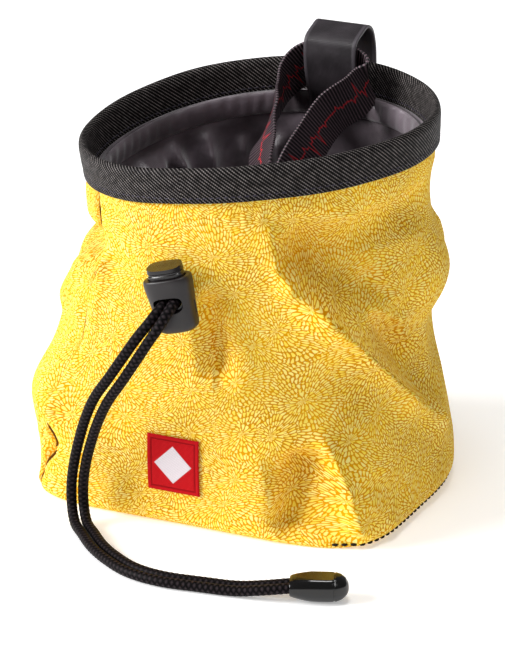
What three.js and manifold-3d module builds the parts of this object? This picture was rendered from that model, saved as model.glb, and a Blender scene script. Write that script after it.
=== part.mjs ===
// A climbing chalk bag: a soft cloth tube with a bound mouth, a belt threaded through the loop
// at its back, and a drawcord with a spring cord lock at its front.
//
// Millimetres, +Z up. The origin is the middle of the base, on the ground. The front, with the
// eyelet and the label, faces -Y. Angles go round the bag from the front towards +X.
import * as THREE from "three";
import Module from "manifold-3d";

const wasm = await Module();
wasm.setup();

// Driving sizes of the bag
const MOUTH_DIAMETER = 122;
const RIM_HEIGHT = 128.6;
const RIM_TILT_RISE = 6.3;
const RIM_SADDLE_RISE = 1.8;
const RIM_TILT_TURN = 25;
const BODY_HALF_WIDTH = 66;
const BODY_HALF_DEPTH = 60;
const BASE_EDGE_RADIUS = 5;
const BASE_LIP = 2;

// Cloth, tape and ribbon
const SHELL_WALL = 1.4;
const LINING_WALL = 1.1;
const LINING_GAP = 0.4;
const TAPE_THICKNESS = 1.1;
const TAPE_HEIGHT = 12;
const NECK_DRAW_IN = 2;
const CHANNEL_HEIGHT = 6.5;
const CHANNEL_THICKNESS = 2.2;
const RIBBON_THICKNESS = 1.2;
const LOOP_RIBBON_WIDTH = 19.5;
const LOOP_RISE = 13.8;
const LOOP_SPAN = 17.2;
const STRAP_WIDTH = 18;
const LABEL_WIDTH = 18.8;
const LABEL_HEIGHT = 20;
const LABEL_THICKNESS = 1.0;
const FIT_GAP = 0.3;

// Drawcord and the hard pieces on it
const CORD_DIAMETER = 3.6;
const EYELET_FLANGE = 13;
const EYELET_FLANGE_THICKNESS = 1.3;
const EYELET_WALL = 0.9;
const EYELET_SIDES = 18;
const LOCK_TILT = 14;
const LOCK_DEPTH = 11;
const LOCK_HEIGHT = 18.5;
const LOCK_WIDTH = 16.4;
const LOCK_WALL = 1.7;
const BUTTON_TRAVEL = 3;
const BUTTON_STANDING = 4.6;
const TOGGLE_LENGTH = 19;
const TOGGLE_HEIGHT = 9.4;
const TOGGLE_WIDTH = 10.6;

// How finely the soft forms are divided
const STEPS_ROUND = 48;
const WALL_ROWS = 12;
const EDGE_ROWS = 1;
const LOOP_STEPS = 24;
const STRAP_STEPS = 48;

const MOUTH_RADIUS = MOUTH_DIAMETER / 2;
const NECK_RADIUS = MOUTH_RADIUS - TAPE_THICKNESS - FIT_GAP;
const LINING_INSET = SHELL_WALL + LINING_GAP;
const degrees = THREE.MathUtils.degToRad;

// The body's sections from the ground to the neck. up is a share of the neck's height, left and
// right are shares of BODY_HALF_WIDTH, front and back of BODY_HALF_DEPTH. A power of 2 is round
// and a higher one has corners. rim says how far a section has become the round mouth.
const SECTIONS = [
  { up: 0, left: 0.96, right: 1.04, front: 0.955, back: 1.04, frontPower: 5.6, backPower: 2.4, rim: 0 },
  { up: 0.06, left: 0.95, right: 1.05, front: 0.950, back: 1.08, frontPower: 5.2, backPower: 2.4, rim: 0 },
  { up: 0.18, left: 0.98, right: 1.01, front: 0.960, back: 1.09, frontPower: 4.2, backPower: 2.4, rim: 0 },
  { up: 0.32, left: 1.05, right: 0.96, front: 0.96, back: 1.09, frontPower: 3.4, backPower: 2.3, rim: 0 },
  { up: 0.48, left: 0.97, right: 0.93, front: 0.96, back: 1.07, frontPower: 2.7, backPower: 2.2, rim: 0.05 },
  { up: 0.64, left: 0.92, right: 1.04, front: 0.96, back: 1.05, frontPower: 2.4, backPower: 2.1, rim: 0.15 },
  { up: 0.80, left: 0.85, right: 0.92, front: 0.97, back: 1.02, frontPower: 2.2, backPower: 2.0, rim: 0.4 },
  { up: 0.92, left: 0.86, right: 0.86, front: 0.98, back: 1.00, frontPower: 2.0, backPower: 2.0, rim: 0.8 },
  { up: 1, left: 0.93, right: 0.96, front: 0.98, back: 1.00, frontPower: 2.0, backPower: 2.0, rim: 1 },
];

// Where the middle of the mouth lies over the base, as shares of the mouth's radius
const RIM_SHIFT = { side: 0.042, back: 0.027 };

// Ridges and hollows, each along a line from one place on the wall to another. Angles are in
// degrees, heights are shares of the neck's height, width and rise are shares of
// BODY_HALF_WIDTH. A negative rise is a hollow, and crisp 1 is a sharp crease.
const FOLDS = [
  { angleA: 31, heightA: 0.92, angleB: 46, heightB: 0.66, width: 0.20, rise: 0.045, crisp: 1 },
  { angleA: 46, heightA: 0.66, angleB: 100, heightB: 0.22, width: 0.22, rise: 0.075, crisp: 1 },
  { angleA: 62, heightA: 0.78, angleB: 84, heightB: 0.64, width: 0.30, rise: -0.080, crisp: 0 },
  { angleA: 20, heightA: 0.58, angleB: 42, heightB: 0.38, width: 0.30, rise: -0.030, crisp: 0 },
  { angleA: 40, heightA: 0.22, angleB: 36, heightB: 0.08, width: 0.18, rise: -0.050, crisp: 0 },
  { angleA: 45, heightA: 0.30, angleB: 51, heightB: 0.06, width: 0.12, rise: 0.030, crisp: 1 },
  { angleA: -30, heightA: 0.82, angleB: -44, heightB: 0.30, width: 0.12, rise: 0.035, crisp: 1 },
  { angleA: -112, heightA: 0.86, angleB: -42, heightB: 0.82, width: 0.17, rise: -0.150, crisp: 0 },
  { angleA: -52, heightA: 0.72, angleB: -62, heightB: 0.62, width: 0.16, rise: 0.040, crisp: 0 },
  { angleA: 112, heightA: 0.50, angleB: 116, heightB: 0.40, width: 0.26, rise: -0.035, crisp: 0 },
  { angleA: 10, heightA: 0.70, angleB: 14, heightB: 0.52, width: 0.14, rise: -0.035, crisp: 0 },
  { angleA: 150, heightA: 0.80, angleB: 168, heightB: 0.35, width: 0.24, rise: -0.045, crisp: 0 },
  { angleA: -150, heightA: 0.75, angleB: -128, heightB: 0.30, width: 0.24, rise: -0.040, crisp: 0 },
  { angleA: -98, heightA: 0.80, angleB: -86, heightB: 0.30, width: 0.22, rise: 0.030, crisp: 1 },
];

// Where the folds run out: just under the tape, and at the base's edge, as shares of the height
const FOLD_TOP = 0.925;
const FOLD_TOP_FADE = 0.08;
const FOLD_FOOT_FADE = 0.05;
const CREASE_POWER = 1.6;

// The table is drawn about the middle of the base, and the whole bag is then moved so that its
// origin is the middle of its box. Shares of BODY_HALF_WIDTH and BODY_HALF_DEPTH.
const MIDDLE_OFFSET = { side: -0.005, back: 0.052 };

// Smooth value of one column of the section table at a share of the height
function tableValue(column, share) {
  const last = SECTIONS.length - 1;
  const place = Math.min(Math.max(share, 0), 1);
  let row = 0;
  while (row < last - 1 && SECTIONS[row + 1].up < place) row += 1;
  const slopeAt = (index) => {
    if (index === 0 || index === last) return 0;
    const below = SECTIONS[index - 1];
    const above = SECTIONS[index + 1];
    return (above[column] - below[column]) / (above.up - below.up);
  };
  const start = SECTIONS[row];
  const end = SECTIONS[row + 1];
  const span = end.up - start.up;
  const t = (place - start.up) / span;
  const rise = t * t * (3 - 2 * t);
  const leave = t * (1 - t) * (1 - t) * span * slopeAt(row);
  const arrive = t * t * (t - 1) * span * slopeAt(row + 1);
  return start[column] * (1 - rise) + end[column] * rise + leave + arrive;
}

// Height of the mouth's ridge: a tilted ring that also dips at its two sides
function ridgeHeight(angle) {
  const turned = angle - degrees(RIM_TILT_TURN);
  return RIM_HEIGHT + RIM_TILT_RISE * Math.sin(turned) + RIM_SADDLE_RISE * Math.cos(2 * turned);
}

function neckHeight(angle) {
  return ridgeHeight(angle) - TAPE_HEIGHT - FIT_GAP;
}

// How far the folds push the wall out at an angle and a share of the height
function foldRise(angle, share) {
  let rise = 0;
  for (const fold of FOLDS) {
    const around = BODY_HALF_WIDTH;
    const startAngle = degrees(fold.angleA);
    const turn = Math.atan2(Math.sin(angle - startAngle), Math.cos(angle - startAngle));
    const along = {
      x: degrees(fold.angleB - fold.angleA) * around,
      y: (fold.heightB - fold.heightA) * RIM_HEIGHT,
    };
    const place = { x: turn * around, y: (share - fold.heightA) * RIM_HEIGHT };
    const lengthSquared = along.x * along.x + along.y * along.y;
    const t = Math.min(Math.max((place.x * along.x + place.y * along.y) / lengthSquared, 0), 1);
    const away = Math.hypot(place.x - t * along.x, place.y - t * along.y);
    const reach = Math.min(away / (fold.width * BODY_HALF_WIDTH), 1);
    const soft = Math.cos(reach * Math.PI / 2) ** 2;
    const sharp = (1 - reach) ** CREASE_POWER;
    rise += fold.rise * BODY_HALF_WIDTH * (fold.crisp * sharp + (1 - fold.crisp) * soft);
  }
  const neckFade = Math.min((FOLD_TOP - share) / FOLD_TOP_FADE, 1);
  const baseFade = Math.min(share / FOLD_FOOT_FADE, 1);
  return rise * Math.max(neckFade, 0) * Math.max(baseFade, 0);
}

// A point of the body's wall, at an angle and a height, moved in by inset
function wallPoint(angle, z, inset) {
  const share = Math.min(z / neckHeight(angle), 1);
  const side = Math.sin(angle);
  const front = Math.cos(angle);
  const sideReach = BODY_HALF_WIDTH * tableValue(side < 0 ? "left" : "right", share);
  const depthReach = BODY_HALF_DEPTH * tableValue(front > 0 ? "front" : "back", share);
  const power = tableValue(front > 0 ? "frontPower" : "backPower", share);
  const shareOfReach = Math.abs(side / sideReach) ** power + Math.abs(front / depthReach) ** power;
  const body = shareOfReach ** (-1 / power);
  const rimShare = tableValue("rim", share);
  const drop = Math.min(Math.max(ridgeHeight(angle) - z, 0) / TAPE_HEIGHT, 1);
  const neck = NECK_RADIUS - NECK_DRAW_IN * drop * (1 - side) / 2;
  const radius = body * (1 - rimShare) + neck * rimShare + foldRise(angle, share) - inset;
  const centreX = RIM_SHIFT.side * MOUTH_RADIUS * rimShare;
  const centreY = RIM_SHIFT.back * MOUTH_RADIUS * rimShare;
  return new THREE.Vector3(centreX + radius * side, centreY - radius * front, z);
}

function ringOf(count, pointAt) {
  const ring = [];
  for (let step = 0; step < count; step += 1) ring.push(pointAt((step / count) * 2 * Math.PI, step));
  return ring;
}

// Skins a row of rings with equal counts into one closed solid. The rings run anticlockwise
// round the way that they follow each other. The row closes on itself or has two flat ends. Each
// quad is split the same way up and down, so that one cloth lies clear inside another.
function skinRings(rings, joined) {
  const count = rings[0].length;
  const positions = rings.flat().flatMap((point) => [point.x, point.y, point.z]);
  const faces = [];
  const bands = joined ? rings.length : rings.length - 1;
  for (let band = 0; band < bands; band += 1) {
    const low = band * count;
    const high = ((band + 1) % rings.length) * count;
    for (let step = 0; step < count; step += 1) {
      const next = (step + 1) % count;
      const falling = rings[(band + 1) % rings.length][step].z < rings[band][step].z;
      if (falling) {
        faces.push(low + step, low + next, high + step);
        faces.push(low + next, high + next, high + step);
      } else {
        faces.push(low + step, low + next, high + next);
        faces.push(low + step, high + next, high + step);
      }
    }
  }
  if (!joined) {
    for (const flip of [true, false]) {
      const ring = flip ? rings[0] : rings.at(-1);
      const base = flip ? 0 : (rings.length - 1) * count;
      const centre = new THREE.Vector3();
      for (const point of ring) centre.addScaledVector(point, 1 / count);
      const hub = positions.length / 3;
      positions.push(centre.x, centre.y, centre.z);
      for (let step = 0; step < count; step += 1) {
        const next = (step + 1) % count;
        faces.push(hub, base + (flip ? next : step), base + (flip ? step : next));
      }
    }
  }
  const geometry = new THREE.BufferGeometry();
  geometry.setAttribute("position", new THREE.Float32BufferAttribute(positions, 3));
  geometry.setIndex(faces);
  return geometry;
}

function toSolid(geometry) {
  const vertProperties = new Float32Array(geometry.getAttribute("position").array);
  const triVerts = new Uint32Array(geometry.getIndex().array);
  return new wasm.Manifold(new wasm.Mesh({ numProp: 3, vertProperties, triVerts }));
}

function toGeometry(solid) {
  const mesh = solid.getMesh();
  const geometry = new THREE.BufferGeometry();
  const positions = Array.from(mesh.vertProperties);
  geometry.setAttribute("position", new THREE.Float32BufferAttribute(positions, 3));
  geometry.setIndex(Array.from(mesh.triVerts));
  return geometry;
}

const bag = new THREE.Group();

function addMesh(parent, name, geometry, colour, roughness, metalness = 0) {
  const material = new THREE.MeshStandardMaterial({ color: colour, roughness, metalness });
  geometry.computeVertexNormals();
  const mesh = new THREE.Mesh(geometry, material);
  mesh.name = name;
  parent.add(mesh);
  return mesh;
}

// Rings up one face of the wall, from the flat base round the bottom edge to the neck
function wallRings(inset) {
  const rings = [];
  const edge = BASE_EDGE_RADIUS - inset;
  for (let row = 0; row <= EDGE_ROWS; row += 1) {
    const turn = (row / (EDGE_ROWS + 1)) * Math.PI / 2;
    const z = BASE_EDGE_RADIUS - edge * Math.cos(turn);
    const tuck = edge * (1 - Math.sin(turn));
    rings.push(ringOf(STEPS_ROUND, (angle) => wallPoint(angle, z, inset + tuck)));
  }
  for (let row = 0; row <= WALL_ROWS; row += 1) {
    const share = row / WALL_ROWS;
    rings.push(ringOf(STEPS_ROUND, (angle) => {
      const z = BASE_EDGE_RADIUS + (neckHeight(angle) - BASE_EDGE_RADIUS) * share;
      return wallPoint(angle, z, inset);
    }));
  }
  return rings;
}

function neckRing(inset, drop) {
  return ringOf(STEPS_ROUND, (angle) => wallPoint(angle, ridgeHeight(angle) - drop, inset));
}

// Printed cloth, open at the mouth and at the base, where the bottom panel is sewn in
function makeShell() {
  const lip = BASE_EDGE_RADIUS + BASE_LIP;
  const topDrop = TAPE_THICKNESS + FIT_GAP;
  const rings = [
    ringOf(STEPS_ROUND, (angle) => wallPoint(angle, 0, lip)),
    ...wallRings(0),
    neckRing(0, topDrop),
    neckRing(SHELL_WALL, topDrop),
    ...wallRings(SHELL_WALL).reverse(),
    ringOf(STEPS_ROUND, (angle) => wallPoint(angle, SHELL_WALL, lip)),
  ];
  return toSolid(skinRings(rings, true)).subtract(toSolid(eyeletBore()));
}

function makeBottomPanel() {
  const inset = BASE_EDGE_RADIUS + BASE_LIP + FIT_GAP;
  const rings = [
    ringOf(STEPS_ROUND, (angle) => wallPoint(angle, 0, inset)),
    ringOf(STEPS_ROUND, (angle) => wallPoint(angle, SHELL_WALL, inset)),
  ];
  return skinRings(rings, false);
}

// Nylon inner bag, a cup that ends just under the tape's inner edge
function makeLining() {
  const outerRings = wallRings(LINING_INSET);
  const innerRings = wallRings(LINING_INSET + LINING_WALL).reverse();
  return skinRings([...outerRings, ...innerRings], false);
}

// Woven tape folded over the mouth: one section, an upside-down U, carried round the ridge
function makeBinding() {
  const outerFace = NECK_RADIUS + FIT_GAP + TAPE_THICKNESS;
  const innerFace = NECK_RADIUS - SHELL_WALL - FIT_GAP - TAPE_THICKNESS;
  const shoulder = TAPE_THICKNESS;
  const crown = (outerFace + innerFace) / 2;
  const section = [
    { radius: innerFace, drop: TAPE_HEIGHT },
    { radius: innerFace, drop: shoulder },
    { radius: innerFace + TAPE_THICKNESS * 0.6, drop: shoulder * 0.3 },
    { radius: crown, drop: 0 },
    { radius: outerFace - TAPE_THICKNESS * 0.6, drop: shoulder * 0.3 },
    { radius: outerFace, drop: shoulder },
    { radius: outerFace, drop: TAPE_HEIGHT },
    { radius: outerFace - TAPE_THICKNESS, drop: TAPE_HEIGHT },
    { radius: outerFace - TAPE_THICKNESS, drop: TAPE_THICKNESS },
    { radius: innerFace + TAPE_THICKNESS, drop: TAPE_THICKNESS },
    { radius: innerFace + TAPE_THICKNESS, drop: TAPE_HEIGHT },
  ];
  return skinRings(ringsRoundMouth(section), true);
}

function ringsRoundMouth(section) {
  return ringOf(STEPS_ROUND, (angle) => section.map((corner) => {
    return wallPoint(angle, ridgeHeight(angle) - corner.drop, NECK_RADIUS - corner.radius);
  }));
}

// The drawcord's channel: a flat hollow hem, puffed a little, that hangs under the tape inside
function makeChannel() {
  const outerFace = NECK_RADIUS - LINING_INSET - LINING_WALL - 2 * FIT_GAP;
  const innerFace = outerFace - CHANNEL_THICKNESS;
  const top = TAPE_HEIGHT + FIT_GAP;
  const section = [
    { radius: outerFace, drop: top + CHANNEL_HEIGHT },
    { radius: innerFace + CHANNEL_THICKNESS * 0.3, drop: top + CHANNEL_HEIGHT },
    { radius: innerFace, drop: top + CHANNEL_HEIGHT * 0.7 },
    { radius: innerFace + CHANNEL_THICKNESS * 0.3, drop: top + CHANNEL_HEIGHT * 0.2 },
    { radius: outerFace - CHANNEL_THICKNESS * 0.4, drop: top },
    { radius: outerFace, drop: top },
  ];
  return skinRings(ringsRoundMouth(section), true);
}

// Flat ribbon carried through stations, each with a middle, a width direction and a path that is
// worked out from its neighbours
function makeRibbon(stations, width, thickness, joined) {
  const count = stations.length;
  const rings = stations.map((station, index) => {
    const before = stations[joined ? (index + count - 1) % count : Math.max(index - 1, 0)].middle;
    const after = stations[joined ? (index + 1) % count : Math.min(index + 1, count - 1)].middle;
    const path = new THREE.Vector3().subVectors(after, before).normalize();
    const across = station.across.clone().addScaledVector(path, -station.across.dot(path)).normalize();
    const out = new THREE.Vector3().crossVectors(path, across);
    return [[-1, -1], [1, -1], [1, 1], [-1, 1]].map(([side, face]) => station.middle.clone()
      .addScaledVector(across, side * width / 2)
      .addScaledVector(out, face * thickness / 2));
  });
  return skinRings(rings, joined);
}

// Even steps along smooth curves through a station list's middles and width directions
function smoothStations(rows, steps, joined) {
  const middles = new THREE.CatmullRomCurve3(rows.map((row) => row.middle), joined, "centripetal");
  const stations = [];
  const last = joined ? steps : steps - 1;
  for (let step = 0; step < steps; step += 1) {
    const t = step / last;
    const place = t * (joined ? rows.length : rows.length - 1);
    const row = Math.floor(place) % rows.length;
    const next = joined ? (row + 1) % rows.length : Math.min(row + 1, rows.length - 1);
    const part = place - Math.floor(place);
    const ease = part * part * (3 - 2 * part);
    const across = rows[row].across.clone().lerp(rows[next].across, ease).normalize();
    stations.push({ middle: middles.getPoint(t), across });
  }
  return stations;
}

// The ribbon arch over the back of the mouth. It stands on the outside of the tape, goes over the
// ridge and comes down inside to the channel. Its middle stands LOOP_SIDE off the bag's middle.
const LOOP_SIDE = 0.148 * MOUTH_RADIUS;
const loopAngle = Math.PI - Math.asin((LOOP_SIDE - RIM_SHIFT.side * MOUTH_RADIUS) / MOUTH_RADIUS);
const loopRidge = ridgeHeight(loopAngle);
const rimBack = RIM_SHIFT.back * MOUTH_RADIUS + MOUTH_RADIUS;
const loopBack = rimBack + FIT_GAP + RIBBON_THICKNESS / 2;
const channelFace = rimBack - (MOUTH_RADIUS - NECK_RADIUS) - LINING_INSET - LINING_WALL - 2 * FIT_GAP
  - CHANNEL_THICKNESS;
const loopFront = loopBack - LOOP_SPAN;
const loopSag = LOOP_RIBBON_WIDTH ** 2 / 8 / MOUTH_RADIUS;

function makeBeltLoop() {
  const across = new THREE.Vector3(1, 0, 0);
  const legEnd = channelFace - loopSag * 3 - 4 * FIT_GAP - RIBBON_THICKNESS / 2;
  const route = [
    { back: loopBack, up: loopRidge - TAPE_HEIGHT },
    { back: loopBack, up: loopRidge - TAPE_HEIGHT * 0.5 },
    { back: loopBack, up: loopRidge },
    { back: loopBack - LOOP_SPAN * 0.047, up: loopRidge + LOOP_RISE * 0.45 },
    { back: loopBack - LOOP_SPAN * 0.198, up: loopRidge + LOOP_RISE * 0.85 },
    { back: loopBack - LOOP_SPAN * 0.419, up: loopRidge + LOOP_RISE },
    { back: loopBack - LOOP_SPAN * 0.674, up: loopRidge + LOOP_RISE * 0.93 },
    { back: loopFront - LOOP_SPAN * 0.006, up: loopRidge + LOOP_RISE * 0.74 },
    { back: loopFront - LOOP_SPAN * 0.052, up: loopRidge + LOOP_RISE * 0.48 },
    { back: loopFront - LOOP_SPAN * 0.017, up: loopRidge },
    { back: loopFront + LOOP_SPAN * 0.128, up: loopRidge - TAPE_HEIGHT * 0.7 },
    { back: legEnd - LOOP_SPAN * 0.035, up: loopRidge - TAPE_HEIGHT * 1.15 },
    { back: legEnd, up: loopRidge - TAPE_HEIGHT * 1.5 },
  ];
  const rows = route.map((row) => ({ middle: new THREE.Vector3(LOOP_SIDE, row.back, row.up), across }));
  return makeRibbon(smoothStations(rows, LOOP_STEPS, false), LOOP_RIBBON_WIDTH, RIBBON_THICKNESS, false);
}

// The belt's ribbon: a closed loop that lies through the arch and hangs down inside the bag.
// side and back are shares of the mouth's radius, up is a share of the rim's height. The lean
// columns give the way across the ribbon, to its upper edge.
const STRAP_ROUTE = [
  { side: 0.11, back: 0.842, up: 1.043, leanSide: 0.00, leanBack: -0.42, leanUp: 0.90 },
  { side: 0.00, back: 0.844, up: 1.033, leanSide: 0.00, leanBack: -0.42, leanUp: 0.90 },
  { side: -0.10, back: 0.812, up: 1.000, leanSide: -0.02, leanBack: -0.56, leanUp: 0.83 },
  { side: -0.145, back: 0.700, up: 0.940, leanSide: 0.20, leanBack: -0.60, leanUp: 0.77 },
  { side: -0.130, back: 0.550, up: 0.900, leanSide: 0.45, leanBack: -0.55, leanUp: 0.70 },
  { side: -0.110, back: 0.400, up: 0.845, leanSide: 0.70, leanBack: -0.42, leanUp: 0.57 },
  { side: -0.050, back: 0.250, up: 0.770, leanSide: 0.60, leanBack: -0.70, leanUp: 0.38 },
  { side: -0.105, back: 0.160, up: 0.620, leanSide: 0.20, leanBack: -0.98, leanUp: 0.10 },
  { side: -0.125, back: 0.120, up: 0.420, leanSide: 0.00, leanBack: -1.00, leanUp: 0.00 },
  { side: -0.120, back: 0.120, up: 0.220, leanSide: 0.00, leanBack: -1.00, leanUp: 0.00 },
  { side: -0.060, back: 0.120, up: 0.075, leanSide: 0.00, leanBack: -1.00, leanUp: 0.00 },
  { side: 0.060, back: 0.120, up: 0.075, leanSide: 0.00, leanBack: -1.00, leanUp: 0.00 },
  { side: 0.120, back: 0.120, up: 0.220, leanSide: 0.00, leanBack: -1.00, leanUp: 0.00 },
  { side: 0.125, back: 0.120, up: 0.420, leanSide: 0.00, leanBack: -1.00, leanUp: 0.00 },
  { side: 0.120, back: 0.180, up: 0.620, leanSide: -0.10, leanBack: -0.95, leanUp: 0.20 },
  { side: 0.090, back: 0.315, up: 0.775, leanSide: -0.22, leanBack: -0.70, leanUp: 0.60 },
  { side: 0.160, back: 0.450, up: 0.865, leanSide: -0.24, leanBack: -0.50, leanUp: 0.83 },
  { side: 0.225, back: 0.600, up: 0.935, leanSide: -0.24, leanBack: -0.50, leanUp: 0.83 },
  { side: 0.335, back: 0.715, up: 0.980, leanSide: -0.16, leanBack: -0.40, leanUp: 0.90 },
  { side: 0.355, back: 0.800, up: 1.012, leanSide: -0.06, leanBack: -0.22, leanUp: 0.97 },
  { side: 0.265, back: 0.840, up: 1.036, leanSide: 0.00, leanBack: -0.36, leanUp: 0.93 },
];

function makeBeltStrap() {
  const rows = STRAP_ROUTE.map((row) => ({
    middle: new THREE.Vector3(row.side * MOUTH_RADIUS, row.back * MOUTH_RADIUS, row.up * RIM_HEIGHT),
    across: new THREE.Vector3(row.leanSide, row.leanBack, row.leanUp),
  }));
  return makeRibbon(smoothStations(rows, STRAP_STEPS, true), STRAP_WIDTH, RIBBON_THICKNESS, true);
}

// A woven label laid over the front of the wall, following its curve
const LABEL_MIDDLE = { side: -0.015, up: 0.18 };

function makeLabel() {
  const cells = 4;
  const middleZ = LABEL_MIDDLE.up * RIM_HEIGHT;
  const angleAt = (x, z) => Math.atan2(x, -wallPoint(0, z, 0).y);
  const face = (lift) => {
    const rows = [];
    for (let row = 0; row <= cells; row += 1) {
      const z = middleZ + (row / cells - 0.5) * LABEL_HEIGHT;
      for (let column = 0; column <= cells; column += 1) {
        const x = LABEL_MIDDLE.side * BODY_HALF_WIDTH + (column / cells - 0.5) * LABEL_WIDTH;
        rows.push(wallPoint(angleAt(x, z), z, -lift));
      }
    }
    return rows;
  };
  const back = face(FIT_GAP);
  const front = face(FIT_GAP + LABEL_THICKNESS);
  const side = cells + 1;
  const edge = [];
  for (let step = 0; step < cells; step += 1) edge.push(step);
  for (let step = 0; step < cells; step += 1) edge.push(step * side + cells);
  for (let step = cells; step > 0; step -= 1) edge.push(cells * side + step);
  for (let step = cells; step > 0; step -= 1) edge.push(step * side);
  const faces = [];
  const total = side * side;
  for (let row = 0; row < cells; row += 1) {
    for (let column = 0; column < cells; column += 1) {
      const at = row * side + column;
      faces.push(total + at, total + at + 1, total + at + side + 1);
      faces.push(total + at, total + at + side + 1, total + at + side);
      faces.push(at, at + side + 1, at + 1);
      faces.push(at, at + side, at + side + 1);
    }
  }
  edge.forEach((at, index) => {
    const next = edge[(index + 1) % edge.length];
    faces.push(at, next, total + next);
    faces.push(at, total + next, total + at);
  });
  const geometry = new THREE.BufferGeometry();
  const positions = [...back, ...front].flatMap((point) => [point.x, point.y, point.z]);
  geometry.setAttribute("position", new THREE.Float32BufferAttribute(positions, 3));
  geometry.setIndex(faces);
  return geometry;
}

// Eyelet: a flange on the cloth and a short barrel through it, just wide enough for both strands
const EYELET_MIDDLE = { side: 0.026, up: 0.682 };
const PAIR_ROOM = 0.4;
const eyeletHole = 2 * CORD_DIAMETER + 3 * FIT_GAP + PAIR_ROOM;
const eyeletBarrel = eyeletHole + 2 * EYELET_WALL;
const eyeletX = EYELET_MIDDLE.side * BODY_HALF_WIDTH;
const eyeletZ = EYELET_MIDDLE.up * RIM_HEIGHT;

function frontWallY(x, z, inset) {
  const angle = Math.atan2(x, -wallPoint(0, z, 0).y);
  return wallPoint(angle, z, inset).y;
}

// The cloth's foremost point under the flange
function eyeletSeat() {
  let foremost = frontWallY(eyeletX, eyeletZ, 0);
  for (let step = 0; step < 12; step += 1) {
    const turn = step / 12 * 2 * Math.PI;
    const x = eyeletX + Math.cos(turn) * EYELET_FLANGE / 2;
    const z = eyeletZ + Math.sin(turn) * EYELET_FLANGE / 2;
    foremost = Math.min(foremost, frontWallY(x, z, 0));
  }
  return foremost;
}

const eyeletBackY = eyeletSeat() - FIT_GAP;
const eyeletFrontY = eyeletBackY - EYELET_FLANGE_THICKNESS;
const eyeletEndY = frontWallY(eyeletX, eyeletZ, SHELL_WALL);

function cleanCopy(geometry) {
  const bare = new THREE.BufferGeometry();
  const shared = [];
  const seen = new Map();
  const index = [];
  const position = geometry.getAttribute("position");
  const given = geometry.getIndex();
  const count = given ? given.count : position.count;
  for (let corner = 0; corner < count; corner += 1) {
    const vertex = given ? given.getX(corner) : corner;
    const point = [position.getX(vertex), position.getY(vertex), position.getZ(vertex)];
    const key = point.map((value) => Math.round(value * 1e4)).join();
    if (!seen.has(key)) {
      seen.set(key, shared.length / 3);
      shared.push(...point);
    }
    index.push(seen.get(key));
  }
  const kept = [];
  for (let face = 0; face < index.length; face += 3) {
    const [a, b, c] = index.slice(face, face + 3);
    if (a !== b && b !== c && c !== a) kept.push(a, b, c);
  }
  bare.setAttribute("position", new THREE.Float32BufferAttribute(shared, 3));
  bare.setIndex(kept);
  return bare;
}

function eyeletBore() {
  const radius = eyeletBarrel / 2 + FIT_GAP;
  const bore = new THREE.CylinderGeometry(radius, radius, EYELET_FLANGE, EYELET_SIDES);
  return cleanCopy(bore.translate(eyeletX, eyeletEndY, eyeletZ));
}

function makeEyelet() {
  const hole = eyeletHole / 2;
  const barrel = eyeletBarrel / 2;
  const flange = EYELET_FLANGE / 2;
  const soft = EYELET_FLANGE_THICKNESS * 0.4;
  const profile = [
    { radius: hole, y: eyeletFrontY + soft },
    { radius: hole + soft, y: eyeletFrontY },
    { radius: flange - soft, y: eyeletFrontY },
    { radius: flange, y: eyeletFrontY + soft },
    { radius: flange, y: eyeletBackY },
    { radius: barrel, y: eyeletBackY },
    { radius: barrel, y: eyeletEndY },
    { radius: hole, y: eyeletEndY },
    { radius: hole, y: eyeletFrontY + soft },
  ];
  const points = profile.map((point) => new THREE.Vector2(point.radius, point.y));
  return cleanCopy(new THREE.LatheGeometry(points, EYELET_SIDES).translate(eyeletX, 0, eyeletZ));
}

// Cord lock. Its own frame has the middle of the cord hole as origin, +Z up the barrel to the
// button, +X across it and -Y out of its front.
const LOCK_SIDES = 20;
const HOLE_BELOW_TOP = 7;
const HOLE_SLOPE = 16;
const LOCK_TURN = 6;
const LOCK_STANDOFF = 1.2;
const LOCK_DROP = 0.2;
const LOCK_SIDE = 1.1;
const LOCK_FORM_POWER = 2.6;
const STEM_LEG = 1.2;
const STEM_FLOOR = 1.4;
const HEAD_SEAT = 1.6;
const HEAD_EDGE = 1.6;
const HOLE_ROOM_WIDE = 2.0;
const HOLE_ROOM_HIGH = 1.2;
const WINDOW_ROOM = 0.8;

// The barrel from its rounded foot to its top: drop is a share of LOCK_HEIGHT, width of
// LOCK_WIDTH and depth of LOCK_DEPTH
const BARREL_SECTIONS = [
  { drop: 1.00, width: 0.50, depth: 0.50 },
  { drop: 0.97, width: 0.72, depth: 0.74 },
  { drop: 0.90, width: 0.83, depth: 0.88 },
  { drop: 0.72, width: 0.85, depth: 0.95 },
  { drop: 0.45, width: 0.90, depth: 1.00 },
  { drop: 0.18, width: 0.98, depth: 1.00 },
  { drop: 0.04, width: 1.00, depth: 1.00 },
  { drop: 0.00, width: 0.96, depth: 0.95 },
];

function ovalRing(width, depth, z, power) {
  const ring = [];
  for (let step = 0; step < LOCK_SIDES; step += 1) {
    const turn = (step / LOCK_SIDES) * 2 * Math.PI;
    const x = Math.sign(Math.cos(turn)) * Math.abs(Math.cos(turn)) ** (2 / power) * width / 2;
    const y = Math.sign(Math.sin(turn)) * Math.abs(Math.sin(turn)) ** (2 / power) * depth / 2;
    ring.push(new THREE.Vector3(x, y, z));
  }
  return ring;
}

function ovalBlock(width, depth, low, high, power) {
  return skinRings([ovalRing(width, depth, low, power), ovalRing(width, depth, high, power)], false);
}

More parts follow.
